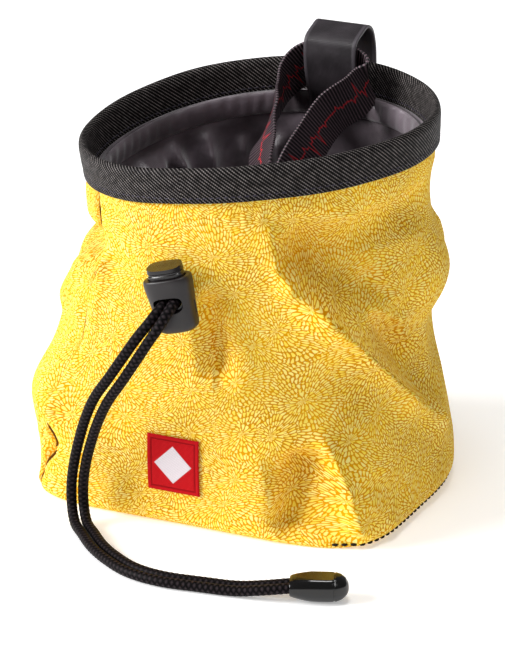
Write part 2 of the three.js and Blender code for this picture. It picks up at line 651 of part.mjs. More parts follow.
const lockTop = HOLE_BELOW_TOP;
const holeWidth = 2 * CORD_DIAMETER + 3 * FIT_GAP + HOLE_ROOM_WIDE;
const holeHeight = CORD_DIAMETER + 2 * FIT_GAP + HOLE_ROOM_HIGH;
const windowWidth = 2 * CORD_DIAMETER + 3 * FIT_GAP + WINDOW_ROOM;
const windowHeight = CORD_DIAMETER + BUTTON_TRAVEL + 4 * FIT_GAP;
const headWidth = LOCK_WIDTH - 2 * LOCK_WALL - 2 * FIT_GAP;
const headDepth = LOCK_DEPTH - 2 * LOCK_WALL - 2 * FIT_GAP + 0.4;
const stemWidth = windowWidth + 2 * STEM_LEG;
const stemDepth = headDepth - 1.0;
const headFoot = lockTop - HEAD_SEAT;
const slopeDrop = stemDepth / 2 * Math.tan(degrees(HOLE_SLOPE));
const stemFoot = -(CORD_DIAMETER / 2 + FIT_GAP + 1.0 + slopeDrop + STEM_FLOOR);

// A flat-sided hole through the front and back, sloping down as the cords run out
function slopedHole(width, height, lift) {
  const hole = ovalBlock(width, height, -LOCK_DEPTH, LOCK_DEPTH, 3);
  hole.rotateX(Math.PI / 2 + degrees(HOLE_SLOPE));
  hole.translate(0, 0, lift);
  return toSolid(hole);
}

function makeLockBarrel() {
  const rings = BARREL_SECTIONS.map((section) => {
    const z = lockTop - LOCK_HEIGHT * section.drop;
    return ovalRing(LOCK_WIDTH * section.width, LOCK_DEPTH * section.depth, z, LOCK_FORM_POWER);
  });
  const headPocket = ovalBlock(headWidth + 2 * FIT_GAP, headDepth + 2 * FIT_GAP,
    headFoot - BUTTON_TRAVEL - FIT_GAP, lockTop + LOCK_WALL, LOCK_FORM_POWER);
  const stemPocket = ovalBlock(stemWidth + 2 * FIT_GAP, stemDepth + 2 * FIT_GAP,
    stemFoot - BUTTON_TRAVEL - FIT_GAP, lockTop, 3);
  const barrel = toSolid(skinRings(rings, false));
  return barrel.subtract(toSolid(headPocket)).subtract(toSolid(stemPocket))
    .subtract(slopedHole(holeWidth, holeHeight, 0));
}

function makeLockButton() {
  const standing = lockTop + BUTTON_STANDING;
  const head = skinRings([
    ovalRing(headWidth, headDepth, headFoot, LOCK_FORM_POWER),
    ovalRing(headWidth, headDepth, standing - HEAD_EDGE, LOCK_FORM_POWER),
    ovalRing(headWidth * 0.93, headDepth * 0.9, standing - HEAD_EDGE * 0.31, LOCK_FORM_POWER),
    ovalRing(headWidth * 0.78, headDepth * 0.7, standing, LOCK_FORM_POWER),
  ], false);
  const stem = ovalBlock(stemWidth, stemDepth, stemFoot, headFoot + 1, 3);
  const lift = (windowHeight - CORD_DIAMETER - 4 * FIT_GAP) / 2 / Math.cos(degrees(HOLE_SLOPE));
  return toSolid(head).add(toSolid(stem)).subtract(slopedHole(windowWidth, windowHeight, lift));
}

// The drawcord: two strands side by side from the eyelet, through the lock, down the front and
// along the ground to the toggle. x, y, z is the middle of the pair, sideX, sideY and sideZ lead
// from it to the outer strand, and apart is the distance between the strands' middles.
const CORD_ROUTE = [
  { x: 1.7, y: -57.2, z: 87.8, sideX: -0.97, sideY: 0.00, sideZ: -0.24, apart: 3.9 },
  { x: 1.9, y: -60.4, z: 87.3, sideX: -0.97, sideY: 0.00, sideZ: -0.24, apart: 3.9 },
  { x: 2.3, y: -64.0, z: 86.4, sideX: -0.97, sideY: 0.00, sideZ: -0.24, apart: 3.9 },
  { x: 2.9, y: -67.2, z: 85.5, sideX: -0.97, sideY: 0.00, sideZ: -0.24, apart: 3.9 },
  { x: 3.5, y: -70.6, z: 84.6, sideX: -0.97, sideY: 0.00, sideZ: -0.24, apart: 3.9 },
  { x: 3.3, y: -73.7, z: 83.3, sideX: -0.98, sideY: 0.00, sideZ: -0.18, apart: 4.1 },
  { x: 1.9, y: -77.0, z: 80.0, sideX: -0.99, sideY: 0.00, sideZ: -0.08, apart: 4.4 },
  { x: -1.2, y: -79.2, z: 75.0, sideX: -1.00, sideY: 0.00, sideZ: 0.00, apart: 4.7 },
  { x: -6.0, y: -79.6, z: 67.5, sideX: -1.00, sideY: 0.00, sideZ: 0.00, apart: 5.0 },
  { x: -12.0, y: -78.2, z: 58.8, sideX: -0.98, sideY: 0.10, sideZ: 0.00, apart: 5.4 },
  { x: -18.6, y: -75.6, z: 49.8, sideX: -0.97, sideY: 0.15, sideZ: 0.00, apart: 5.6 },
  { x: -23.6, y: -72.6, z: 41.0, sideX: -0.97, sideY: 0.10, sideZ: 0.00, apart: 5.2 },
  { x: -27.7, y: -69.6, z: 32.0, sideX: -0.99, sideY: 0.00, sideZ: 0.00, apart: 4.6 },
  { x: -31.2, y: -67.2, z: 22.0, sideX: -0.99, sideY: -0.10, sideZ: 0.00, apart: 4.2 },
  { x: -33.1, y: -65.8, z: 12.5, sideX: -0.97, sideY: -0.25, sideZ: 0.00, apart: 4.0 },
  { x: -32.2, y: -67.2, z: 5.4, sideX: -0.93, sideY: -0.37, sideZ: 0.00, apart: 4.0 },
  { x: -28.8, y: -71.6, z: 2.3, sideX: -0.90, sideY: -0.44, sideZ: 0.00, apart: 4.0 },
  { x: -23.3, y: -77.4, z: 1.9, sideX: -0.80, sideY: -0.60, sideZ: 0.00, apart: 4.0 },
  { x: -15.7, y: -85.4, z: 1.9, sideX: -0.75, sideY: -0.66, sideZ: 0.00, apart: 4.0 },
  { x: -6.9, y: -92.2, z: 1.9, sideX: -0.58, sideY: -0.81, sideZ: 0.00, apart: 4.0 },
  { x: 3.0, y: -97.6, z: 1.9, sideX: -0.30, sideY: -0.95, sideZ: 0.00, apart: 4.0 },
  { x: 14.5, y: -99.6, z: 1.9, sideX: 0.00, sideY: -1.00, sideZ: 0.00, apart: 4.0 },
  { x: 27.8, y: -98.2, z: 1.9, sideX: 0.10, sideY: -0.99, sideZ: 0.00, apart: 4.0 },
  { x: 40.5, y: -96.4, z: 2.1, sideX: 0.15, sideY: -0.99, sideZ: 0.00, apart: 4.0 },
  { x: 50.0, y: -94.8, z: 3.6, sideX: 0.22, sideY: -0.98, sideZ: 0.00, apart: 3.9 },
  { x: 57.0, y: -92.6, z: 4.6, sideX: 0.34, sideY: -0.94, sideZ: 0.00, apart: 3.9 },
  { x: 64.0, y: -89.8, z: 4.7, sideX: 0.37, sideY: -0.93, sideZ: 0.00, apart: 3.9 },
];
const CORD_SIDES = 8;
const CORD_STEPS = 34;

function makeStrand(hand) {
  const points = CORD_ROUTE.map((row) => new THREE.Vector3(
    row.x + hand * row.sideX * row.apart / 2,
    row.y + hand * row.sideY * row.apart / 2,
    row.z + hand * row.sideZ * row.apart / 2,
  ));
  const section = new THREE.Shape();
  for (let step = 0; step < CORD_SIDES; step += 1) {
    const turn = (step / CORD_SIDES) * 2 * Math.PI;
    const place = [Math.cos(turn) * CORD_DIAMETER / 2, Math.sin(turn) * CORD_DIAMETER / 2];
    if (step === 0) section.moveTo(...place);
    else section.lineTo(...place);
  }
  section.closePath();
  const path = new THREE.CatmullRomCurve3(points, false, "centripetal");
  return cleanCopy(new THREE.ExtrudeGeometry(section, { steps: CORD_STEPS, extrudePath: path }));
}

// The toggle that holds both strands' ends, lying on the ground: sections from the cords' end to
// the tip, as shares of its length, width and height, with a flattened top
const TOGGLE_SECTIONS = [
  { along: 0.00, width: 0.86, under: 0.60, over: 0.60 },
  { along: 0.12, width: 0.93, under: 0.78, over: 0.78 },
  { along: 0.34, width: 1.00, under: 0.97, over: 0.94 },
  { along: 0.62, width: 1.00, under: 1.00, over: 0.96 },
  { along: 0.76, width: 0.96, under: 0.97, over: 0.94 },
  { along: 0.78, width: 0.90, under: 0.91, over: 0.90 },
  { along: 0.88, width: 0.78, under: 0.80, over: 0.80 },
  { along: 0.96, width: 0.50, under: 0.52, over: 0.52 },
  { along: 1.00, width: 0.18, under: 0.18, over: 0.18 },
];
const TOGGLE_PLACE = { x: 57.2, y: -92.5, turn: 21.8 };

function toggleRing(along, width, under, over, power) {
  const ring = [];
  for (let step = 0; step < LOCK_SIDES; step += 1) {
    const turn = (step / LOCK_SIDES) * 2 * Math.PI;
    const y = Math.sign(Math.cos(turn)) * Math.abs(Math.cos(turn)) ** (2 / power) * width / 2;
    const reach = Math.sin(turn) > 0 ? over : under;
    const z = Math.sign(Math.sin(turn)) * Math.abs(Math.sin(turn)) ** (2 / power) * reach / 2;
    ring.push(new THREE.Vector3(along, y, z));
  }
  return ring;
}

function makeToggle() {
  const rings = TOGGLE_SECTIONS.map((section) => toggleRing(
    section.along * TOGGLE_LENGTH,
    section.width * TOGGLE_WIDTH,
    section.under * TOGGLE_HEIGHT,
    section.over * TOGGLE_HEIGHT,
    2.4,
  ));
  const socketWidth = 2 * CORD_DIAMETER + 3 * FIT_GAP + PAIR_ROOM;
  const socketHeight = CORD_DIAMETER + 2 * FIT_GAP;
  const socketDepth = TOGGLE_LENGTH * 0.45;
  const socket = skinRings([
    toggleRing(-1, socketWidth, socketHeight, socketHeight, 3.2),
    toggleRing(socketDepth, socketWidth, socketHeight, socketHeight, 3.2),
  ], false);
  return toSolid(skinRings(rings, false)).subtract(toSolid(socket));
}

const lockDepthSpan = (LOCK_DEPTH / 2) * Math.cos(degrees(LOCK_TURN)) + LOCK_STANDOFF;
const lockY = eyeletFrontY - lockDepthSpan;
const lockDrop = (eyeletEndY - lockY) * LOCK_DROP;
const cordLock = new THREE.Group();
cordLock.position.set(eyeletX + LOCK_SIDE, lockY, eyeletZ - lockDrop);
cordLock.rotation.set(0, degrees(-LOCK_TILT), degrees(LOCK_TURN), "ZYX");
bag.add(cordLock);

const toggle = new THREE.Group();
toggle.position.set(TOGGLE_PLACE.x, TOGGLE_PLACE.y, TOGGLE_HEIGHT / 2);
toggle.rotation.set(0, 0, degrees(TOGGLE_PLACE.turn));
bag.add(toggle);

addMesh(bag, "outer_shell", toGeometry(makeShell()), 0xe0a82c, 0.85);
addMesh(bag, "bottom_panel", makeBottomPanel(), 0x1c1b1d, 0.9);
addMesh(bag, "rim_binding", makeBinding(), 0x1d1c1f, 0.8);
addMesh(bag, "lining_bag", makeLining(), 0x1b181d, 0.5);
addMesh(bag, "drawcord_channel", makeChannel(), 0x231f26, 0.5);
addMesh(bag, "belt_loop", makeBeltLoop(), 0x1e1c20, 0.6);
addMesh(bag, "belt_strap", makeBeltStrap(), 0x2a2427, 0.7);
addMesh(bag, "front_label", makeLabel(), 0xb3121b, 0.8);
addMesh(bag, "front_eyelet", makeEyelet(), 0x0c0b0c, 0.25);
addMesh(cordLock, "lock_barrel", toGeometry(makeLockBarrel()), 0x141316, 0.55);
addMesh(cordLock, "lock_button", toGeometry(makeLockButton()), 0x141316, 0.5);
addMesh(bag, "drawcord_outer", makeStrand(1), 0x121113, 0.9);
addMesh(bag, "drawcord_inner", makeStrand(-1), 0x121113, 0.9);
addMesh(toggle, "cord_toggle", toGeometry(makeToggle()), 0x0e0d0e, 0.2);
bag.position.set(-MIDDLE_OFFSET.side * BODY_HALF_WIDTH, -MIDDLE_OFFSET.back * BODY_HALF_DEPTH, 0);

export default bag;
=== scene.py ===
# %% [markdown]
# # A climbing chalk bag
#
# The bag is a soft tube of printed cloth with a nylon lining. A twill tape binds its round mouth,
# a belt of ribbed ribbon hangs through an arch at the back, and a drawcord comes out of an eyelet
# at the front, through a spring cord lock, to a toggle on the ground.
#
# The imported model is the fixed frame. Each soft solid in it is replaced by a finer piece that
# lies in the same place. Lengths are in metres, +Z is up, and the front faces -Y.

import bpy
import numpy as np
from mathutils import Matrix, Vector, noise


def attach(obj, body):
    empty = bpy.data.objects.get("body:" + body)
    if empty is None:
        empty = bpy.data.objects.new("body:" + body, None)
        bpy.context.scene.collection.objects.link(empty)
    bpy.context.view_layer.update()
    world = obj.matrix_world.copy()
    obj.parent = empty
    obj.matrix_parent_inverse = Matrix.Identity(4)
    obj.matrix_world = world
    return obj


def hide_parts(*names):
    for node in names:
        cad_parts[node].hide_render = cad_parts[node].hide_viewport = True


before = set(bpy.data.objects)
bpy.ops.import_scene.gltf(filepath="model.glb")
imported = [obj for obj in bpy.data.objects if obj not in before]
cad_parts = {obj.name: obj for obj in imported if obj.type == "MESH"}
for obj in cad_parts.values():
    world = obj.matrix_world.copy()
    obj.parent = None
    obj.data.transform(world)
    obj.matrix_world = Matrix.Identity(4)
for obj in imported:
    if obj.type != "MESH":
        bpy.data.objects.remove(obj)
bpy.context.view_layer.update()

# %% [markdown]
# ## Small helpers
#
# Operators act on what is selected, so a helper clears the selection first. Cloth starts as a grid
# primitive, whose points are then laid on a surface in code, because a sheet that is one grid keeps
# a clean map of where its threads run. That map is written as the UV, at ten units to the metre.

# %% Selecting and laying out grids
MM = 0.001
MAP_SCALE = 10.0


def pick_only(piece):
    bpy.ops.object.select_all(action="DESELECT")
    piece.select_set(True)
    bpy.context.view_layer.objects.active = piece


def apply_modifiers(piece):
    pick_only(piece)
    for modifier in list(piece.modifiers):
        bpy.ops.object.modifier_apply(modifier=modifier.name)


def weld(piece, distance=0.00002):
    pick_only(piece)
    bpy.ops.object.mode_set(mode="EDIT")
    bpy.ops.mesh.select_all(action="SELECT")
    bpy.ops.mesh.remove_doubles(threshold=distance)
    bpy.ops.object.mode_set(mode="OBJECT")


def cloth_grid(name, columns, rows, place, cloth_map):
    """A grid whose points go where place(column, row) says. Both run from 0 to 1."""
    bpy.ops.object.select_all(action="DESELECT")
    bpy.ops.mesh.primitive_grid_add(x_subdivisions=columns, y_subdivisions=rows, size=2)
    piece = bpy.context.object
    piece.name = name
    mesh = piece.data
    flat = np.zeros(len(mesh.vertices) * 3)
    mesh.vertices.foreach_get("co", flat)
    flat = flat.reshape(-1, 3)
    column = np.clip(np.round((flat[:, 0] + 1) / 2 * columns) / columns, 0, 1)
    row = np.clip(np.round((flat[:, 1] + 1) / 2 * rows) / rows, 0, 1)
    points = place(column, row)
    mesh.vertices.foreach_set("co", points.astype(np.float32).ravel())
    corner = np.zeros(len(mesh.loops), int)
    mesh.loops.foreach_get("vertex_index", corner)
    across, along = cloth_map(column, row)
    values = np.stack([across[corner], along[corner]], axis=1) * MAP_SCALE
    mesh.uv_layers.active.data.foreach_set("uv", values.astype(np.float32).ravel())
    mesh.update()
    weld(piece)
    bpy.ops.object.shade_smooth()
    return piece


def thicken(piece, thickness, offset, back_material=0):
    wall = piece.modifiers.new("wall", "SOLIDIFY")
    wall.thickness = thickness
    wall.offset = offset
    wall.use_even_offset = True
    wall.material_offset = back_material
    apply_modifiers(piece)


def count_faces(piece):
    print(piece.name, len(piece.data.polygons), "faces")


# %% [markdown]
# ## The camera
#
# The photograph looks down at the bag from its right, from far away through a long lens. The
# small shift puts the bag a little above the middle of the frame, as it is there.

# %% Camera
GROUP_OFFSET = np.array([0.33, -3.12, 0.0]) * MM
VIEW_AZIMUTH = np.radians(25.0)
VIEW_ELEVATION = np.radians(20.3)
VIEW_DISTANCE = 1.3
VIEW_LENS = 211.0
view_aim = Vector(GROUP_OFFSET) + Vector((0, 0, 65 * MM))
view_back = Vector((
    np.sin(VIEW_AZIMUTH) * np.cos(VIEW_ELEVATION),
    -np.cos(VIEW_AZIMUTH) * np.cos(VIEW_ELEVATION),
    np.sin(VIEW_ELEVATION),
))
bpy.ops.object.camera_add(location=view_aim + view_back * VIEW_DISTANCE)
camera = bpy.context.object
camera.name = "photo_camera"
camera.rotation_euler = view_back.to_track_quat("Z", "Y").to_euler()
camera.data.lens = VIEW_LENS
camera.data.sensor_width = 36.0
camera.data.shift_x = 0.0038
camera.data.shift_y = -0.0508
camera.data.clip_end = 20.0
bpy.context.scene.camera = camera
print("camera at", tuple(round(value, 3) for value in camera.location))

# %% [markdown]
# ## The drawcord
#
# Two strands of the same braided cord leave the eyelet side by side, pass through the lock, hang
# down the front and lie along the ground to the toggle, all of it in the photograph. A strand
# could be a curve with a round bevel, but then the braid would only be painted on, so each one
# is a closed tube of its own whose skin is raised in the braid's small diamonds.

# %% Paths through chosen points
def smooth_path(points, count, closed=False):
    """Even steps in parameter along a centripetal Catmull-Rom curve."""
    points = np.asarray(points, float)
    if closed:
        ring = np.vstack([points[-1], points, points[0], points[1]])
    else:
        ring = np.vstack([2 * points[0] - points[1], points, 2 * points[-1] - points[-2]])
    spans = len(ring) - 3
    places = np.linspace(0, spans, count, endpoint=not closed)
    path = []
    for place in places:
        first = min(int(place), spans - 1)
        part = place - first
        p0, p1, p2, p3 = ring[first:first + 4]
        k0 = np.sqrt(np.linalg.norm(p1 - p0))
        k1 = np.sqrt(np.linalg.norm(p2 - p1))
        k2 = np.sqrt(np.linalg.norm(p3 - p2))
        leave = ((p1 - p0) / k0 - (p2 - p0) / (k0 + k1) + (p2 - p1) / k1) * k1
        arrive = ((p2 - p1) / k1 - (p3 - p1) / (k1 + k2) + (p3 - p2) / k2) * k1
        cube = 2 * p1 - 2 * p2 + leave + arrive
        square = 3 * p2 - 3 * p1 - 2 * leave - arrive
        path.append(cube * part ** 3 + square * part ** 2 + leave * part + p1)
    return np.array(path)


def path_lengths(path):
    steps = np.linalg.norm(np.diff(path, axis=0), axis=1)
    return np.concatenate([[0], np.cumsum(steps)])


def even_path(points, count):
    """The same curve in equal steps of length."""
    fine = smooth_path(points, 1200)
    lengths = path_lengths(fine)
    wanted = np.linspace(0, lengths[-1], count)
    return np.stack([np.interp(wanted, lengths, fine[:, axis]) for axis in range(3)], axis=1)


def carried_frames(path):
    """Two directions square to the path at each point, turned as little as possible."""
    ahead = np.gradient(path, axis=0)
    ahead /= np.linalg.norm(ahead, axis=1)[:, None]
    side = np.zeros_like(path)
    start = np.cross(ahead[0], [0, 0, 1.0])
    side[0] = start / np.linalg.norm(start)
    for index in range(1, len(path)):
        turned = side[index - 1] - ahead[index] * np.dot(side[index - 1], ahead[index])
        side[index] = turned / np.linalg.norm(turned)
    return side, np.cross(ahead, side)


# %% Cord route, as in the solid model
CORD_ROUTE = [
    # x, y, z of the pair's middle, then the way to the outer strand, then how far apart, in mm
    (1.7, -57.2, 87.8, -0.97, 0.00, -0.24, 3.9),
    (1.9, -60.4, 87.3, -0.97, 0.00, -0.24, 3.9),
    (2.3, -64.0, 86.4, -0.97, 0.00, -0.24, 3.9),
    (2.9, -67.2, 85.5, -0.97, 0.00, -0.24, 3.9),
    (3.5, -70.6, 84.6, -0.97, 0.00, -0.24, 3.9),
    (3.3, -73.7, 83.3, -0.98, 0.00, -0.18, 4.1),
    (1.9, -77.0, 80.0, -0.99, 0.00, -0.08, 4.4),
    (-1.2, -79.2, 75.0, -1.00, 0.00, 0.00, 4.7),
    (-6.0, -79.6, 67.5, -1.00, 0.00, 0.00, 5.0),
    (-12.0, -78.2, 58.8, -0.98, 0.10, 0.00, 5.4),
    (-18.6, -75.6, 49.8, -0.97, 0.15, 0.00, 5.6),
    (-23.6, -72.6, 41.0, -0.97, 0.10, 0.00, 5.2),
    (-27.7, -69.6, 32.0, -0.99, 0.00, 0.00, 4.6),
    (-31.2, -67.2, 22.0, -0.99, -0.10, 0.00, 4.2),
    (-33.1, -65.8, 12.5, -0.97, -0.25, 0.00, 4.0),
    (-32.2, -67.2, 5.4, -0.93, -0.37, 0.00, 4.0),
    (-28.8, -71.6, 2.3, -0.90, -0.44, 0.00, 4.0),
    (-23.3, -77.4, 1.9, -0.80, -0.60, 0.00, 4.0),
    (-15.7, -85.4, 1.9, -0.75, -0.66, 0.00, 4.0),
    (-6.9, -92.2, 1.9, -0.58, -0.81, 0.00, 4.0),
    (3.0, -97.6, 1.9, -0.30, -0.95, 0.00, 4.0),
    (14.5, -99.6, 1.9, 0.00, -1.00, 0.00, 4.0),
    (27.8, -98.2, 1.9, 0.10, -0.99, 0.00, 4.0),
    (40.5, -96.4, 2.1, 0.15, -0.99, 0.00, 4.0),
    (50.0, -94.8, 3.6, 0.22, -0.98, 0.00, 3.9),
    (57.0, -92.6, 4.6, 0.34, -0.94, 0.00, 3.9),
    (64.0, -89.8, 4.7, 0.37, -0.93, 0.00, 3.9),
]
CORD_DIAMETER = 3.6 * MM
BRAID_STEP = 1.9 * MM
BRAID_ROUND = 7
BRAID_RELIEF = 0.11 * MM
CORD_SIDES = 42
CORD_RINGS = 620


def strand_points(hand):
    route = np.array(CORD_ROUTE)
    middle = route[:, 0:3] * MM + GROUP_OFFSET
    return middle + hand * route[:, 3:6] * route[:, 6:7] * MM / 2


def braided_tube(name, points):
    path = even_path(points, CORD_RINGS + 1)
    lengths = path_lengths(path)
    side, over = carried_frames(path)

    def place(column, row):
        ring = np.round(row * CORD_RINGS).astype(int)
        turn = -column * 2 * np.pi
        wave = lengths[ring] / BRAID_STEP * np.pi
        diamonds = np.abs(np.sin(BRAID_ROUND * turn / 2 + wave) * np.sin(BRAID_ROUND * turn / 2 - wave))
        end = np.minimum(ring, CORD_RINGS - ring) == 0
        radius = CORD_DIAMETER / 2 - BRAID_RELIEF * (1 - diamonds)
        radius = np.where(end, 0, radius)[:, None]
        return path[ring] + radius * (np.cos(turn)[:, None] * side[ring] + np.sin(turn)[:, None] * over[ring])

    def cloth_map(column, row):
        return column * np.pi * CORD_DIAMETER, row * lengths[-1]

    tube = cloth_grid(name, CORD_SIDES, CORD_RINGS, place, cloth_map)
    print(name, "is", round(lengths[-1] * 1000), "mm long")
    return tube, path


strand_outer, path_outer = braided_tube("strand_outer", strand_points(1))
strand_inner, path_inner = braided_tube("strand_inner", strand_points(-1))

# %% [markdown]
# ## Where the cloth lies
#
# The bag's wall is one function of the angle round it and the height on it, as in the solid
# model: sections from the table, which become the round mouth near the top, with ridges and
# hollows pressed into them. The finer cloth adds the smaller creases of the photograph.

# %% The wall's tables
MOUTH_RADIUS = 61 * MM
RIM_HEIGHT = 128.6 * MM
RIM_TILT_RISE = 6.3 * MM
RIM_SADDLE_RISE = 1.8 * MM
RIM_TILT_TURN = np.radians(25)
BODY_HALF_WIDTH = 66 * MM
BODY_HALF_DEPTH = 60 * MM
BASE_EDGE_RADIUS = 5 * MM
BASE_LIP = 2 * MM
TAPE_THICKNESS = 1.1 * MM
TAPE_HEIGHT = 12 * MM
NECK_DRAW_IN = 2 * MM
FIT_GAP = 0.3 * MM
NECK_RADIUS = MOUTH_RADIUS - TAPE_THICKNESS - FIT_GAP
RIM_SHIFT_SIDE = 0.042
RIM_SHIFT_BACK = 0.027

SECTIONS = np.array([
    # height, left, right, front, back, power in front, power behind, share of the round mouth
    (0.00, 0.96, 1.04, 0.955, 1.04, 5.6, 2.4, 0.00),
    (0.06, 0.95, 1.05, 0.950, 1.08, 5.2, 2.4, 0.00),
    (0.18, 0.98, 1.01, 0.960, 1.09, 4.2, 2.4, 0.00),
    (0.32, 1.05, 0.96, 0.960, 1.09, 3.4, 2.3, 0.00),
    (0.48, 0.97, 0.93, 0.960, 1.07, 2.7, 2.2, 0.05),
    (0.64, 0.92, 1.04, 0.960, 1.05, 2.4, 2.1, 0.15),
    (0.80, 0.85, 0.92, 0.970, 1.02, 2.2, 2.0, 0.40),
    (0.92, 0.86, 0.86, 0.980, 1.00, 2.0, 2.0, 0.80),
    (1.00, 0.93, 0.96, 0.980, 1.00, 2.0, 2.0, 1.00),
])
LEFT, RIGHT, FRONT, BACK, FRONT_POWER, BACK_POWER, RIM_SHARE = range(1, 8)

MAIN_FOLDS = [
    # angle and height of each end, width and rise as shares of BODY_HALF_WIDTH, crispness
    (31, 0.92, 46, 0.66, 0.20, 0.045, 1),
    (46, 0.66, 100, 0.22, 0.22, 0.075, 1),
    (62, 0.78, 84, 0.64, 0.30, -0.080, 0),
    (20, 0.58, 42, 0.38, 0.30, -0.030, 0),
    (40, 0.22, 36, 0.08, 0.18, -0.050, 0),
    (45, 0.30, 51, 0.06, 0.12, 0.030, 1),
    (-30, 0.82, -44, 0.30, 0.12, 0.035, 1),
    (-112, 0.86, -42, 0.82, 0.17, -0.150, 0),
    (-52, 0.72, -62, 0.62, 0.16, 0.040, 0),
    (112, 0.50, 116, 0.40, 0.26, -0.035, 0),
    (10, 0.70, 14, 0.52, 0.14, -0.035, 0),
    (150, 0.80, 168, 0.35, 0.24, -0.045, 0),
    (-150, 0.75, -128, 0.30, 0.24, -0.040, 0),
    (-98, 0.80, -86, 0.30, 0.22, 0.030, 1),
]
FINE_FOLDS = [
    # the long ridge that falls to the right, and the wide hollow above it
    (27, 0.92, 36, 0.74, 0.09, 0.024, 1),
    (36, 0.74, 50, 0.61, 0.11, 0.034, 1),
    (50, 0.61, 78, 0.36, 0.12, 0.040, 1),
    (78, 0.36, 96, 0.25, 0.14, 0.014, 0),
    (46, 0.80, 92, 0.50, 0.24, -0.042, 0),
    (36, 0.86, 52, 0.80, 0.12, -0.026, 0),
    # the second ridge and the dimple by the right edge
    (66, 0.63, 83, 0.55, 0.10, 0.034, 1),
    (83, 0.55, 92, 0.46, 0.10, 0.026, 1),
    (68, 0.70, 74, 0.66, 0.10, -0.030, 0),
    (34, 0.90, 84, 0.90, 0.06, 0.016, 1),
    # the square fold over the front's right foot
    (45, 0.29, 50, 0.16, 0.07, 0.026, 1),
    (50, 0.16, 52, 0.05, 0.07, 0.020, 1),
    (41, 0.22, 37, 0.07, 0.13, -0.040, 0),
    (57, 0.12, 64, 0.04, 0.08, 0.018, 1),
    (60, 0.16, 70, 0.10, 0.10, -0.020, 0),
    # beside the lock, and down the left front
    (9, 0.68, 12, 0.50, 0.10, -0.030, 0),
    (17, 0.66, 22, 0.46, 0.10, 0.012, 1),
    (-30, 0.80, -38, 0.66, 0.06, 0.020, 1),
    (-44, 0.30, -49, 0.20, 0.09, 0.022, 1),
    (-49, 0.20, -46, 0.10, 0.08, 0.018, 1),
    (-33, 0.76, -38, 0.48, 0.05, -0.016, 0),
    (-20, 0.20, -14, 0.08, 0.12, -0.014, 0),
    # round the back
    (120, 0.74, 138, 0.52, 0.10, 0.024, 1),
    (138, 0.52, 152, 0.24, 0.12, 0.020, 1),
    (-168, 0.62, -150, 0.30, 0.10, 0.024, 1),
    (-128, 0.60, -112, 0.26, 0.10, 0.018, 1),
]


# Creases that the cloth drops away from on one side only: places along each, as an angle and a
# height, then how wide and how deep the drop is. It lies on the left of the way that they run,
# and fades out at both ends.
STEP_FOLDS = [
    ([(28, 1.00), (30, 0.90), (33, 0.79), (45, 0.68), (58, 0.54), (78, 0.36), (104, 0.18)], 0.40, 0.115),
    ([(100, 0.93), (62, 0.915), (38, 0.90), (24, 0.86)], 0.26, 0.070),
    ([(54, -0.06), (50, 0.16), (45, 0.33)], 0.34, 0.120),
    ([(7, 0.76), (10, 0.60), (14, 0.42)], 0.22, 0.060),
    ([(96, 0.42), (83, 0.55), (64, 0.64)], 0.18, 0.040),
    ([(-50, 0.02), (-42, 0.15), (-46, 0.22), (-42, 0.39), (-38, 0.52), (-38, 0.66), (-36, 0.78)],
     0.12, 0.030),
]


# %% The wall as a function
def table_value(column, share):
    heights = SECTIONS[:, 0]
    values = SECTIONS[:, column]
    slopes = np.zeros(len(heights))
    slopes[1:-1] = (values[2:] - values[:-2]) / (heights[2:] - heights[:-2])
    place = np.clip(share, 0, 1)
    row = np.clip(np.searchsorted(heights, place, side="left") - 1, 0, len(heights) - 2)
    span = heights[row + 1] - heights[row]
    t = (place - heights[row]) / span
    blend = t * t * (3 - 2 * t)
    leave = t * (1 - t) ** 2 * span * slopes[row]
    arrive = t * t * (t - 1) * span * slopes[row + 1]
    return values[row] * (1 - blend) + values[row + 1] * blend + leave + arrive


def ridge_height(angle):
    turned = angle - RIM_TILT_TURN
    return RIM_HEIGHT + RIM_TILT_RISE * np.sin(turned) + RIM_SADDLE_RISE * np.cos(2 * turned)


def neck_height(angle):
    return ridge_height(angle) - TAPE_HEIGHT - FIT_GAP


def fold_rise(angle, share, folds):
    rise = np.zeros_like(angle)
    for angle_a, height_a, angle_b, height_b, width, lift, crisp in folds:
        start = np.radians(angle_a)
        turn = np.arctan2(np.sin(angle - start), np.cos(angle - start))
        run = np.radians(angle_b - angle_a) * BODY_HALF_WIDTH
        along = np.array([run, (height_b - height_a) * RIM_HEIGHT])
        place_x = turn * BODY_HALF_WIDTH
        place_y = (share - height_a) * RIM_HEIGHT
        t = np.clip((place_x * along[0] + place_y * along[1]) / (along @ along), 0, 1)
        away = np.hypot(place_x - t * along[0], place_y - t * along[1])
        reach = np.minimum(away / (width * BODY_HALF_WIDTH), 1)
        soft = np.cos(reach * np.pi / 2) ** 2
        sharp = (1 - reach) ** 1.6
        rise += lift * BODY_HALF_WIDTH * (crisp * sharp + (1 - crisp) * soft)
    neck_fade = np.clip((0.925 - share) / 0.08, 0, 1)
    base_fade = np.clip(share / 0.05, 0, 1)
    return rise * neck_fade * base_fade


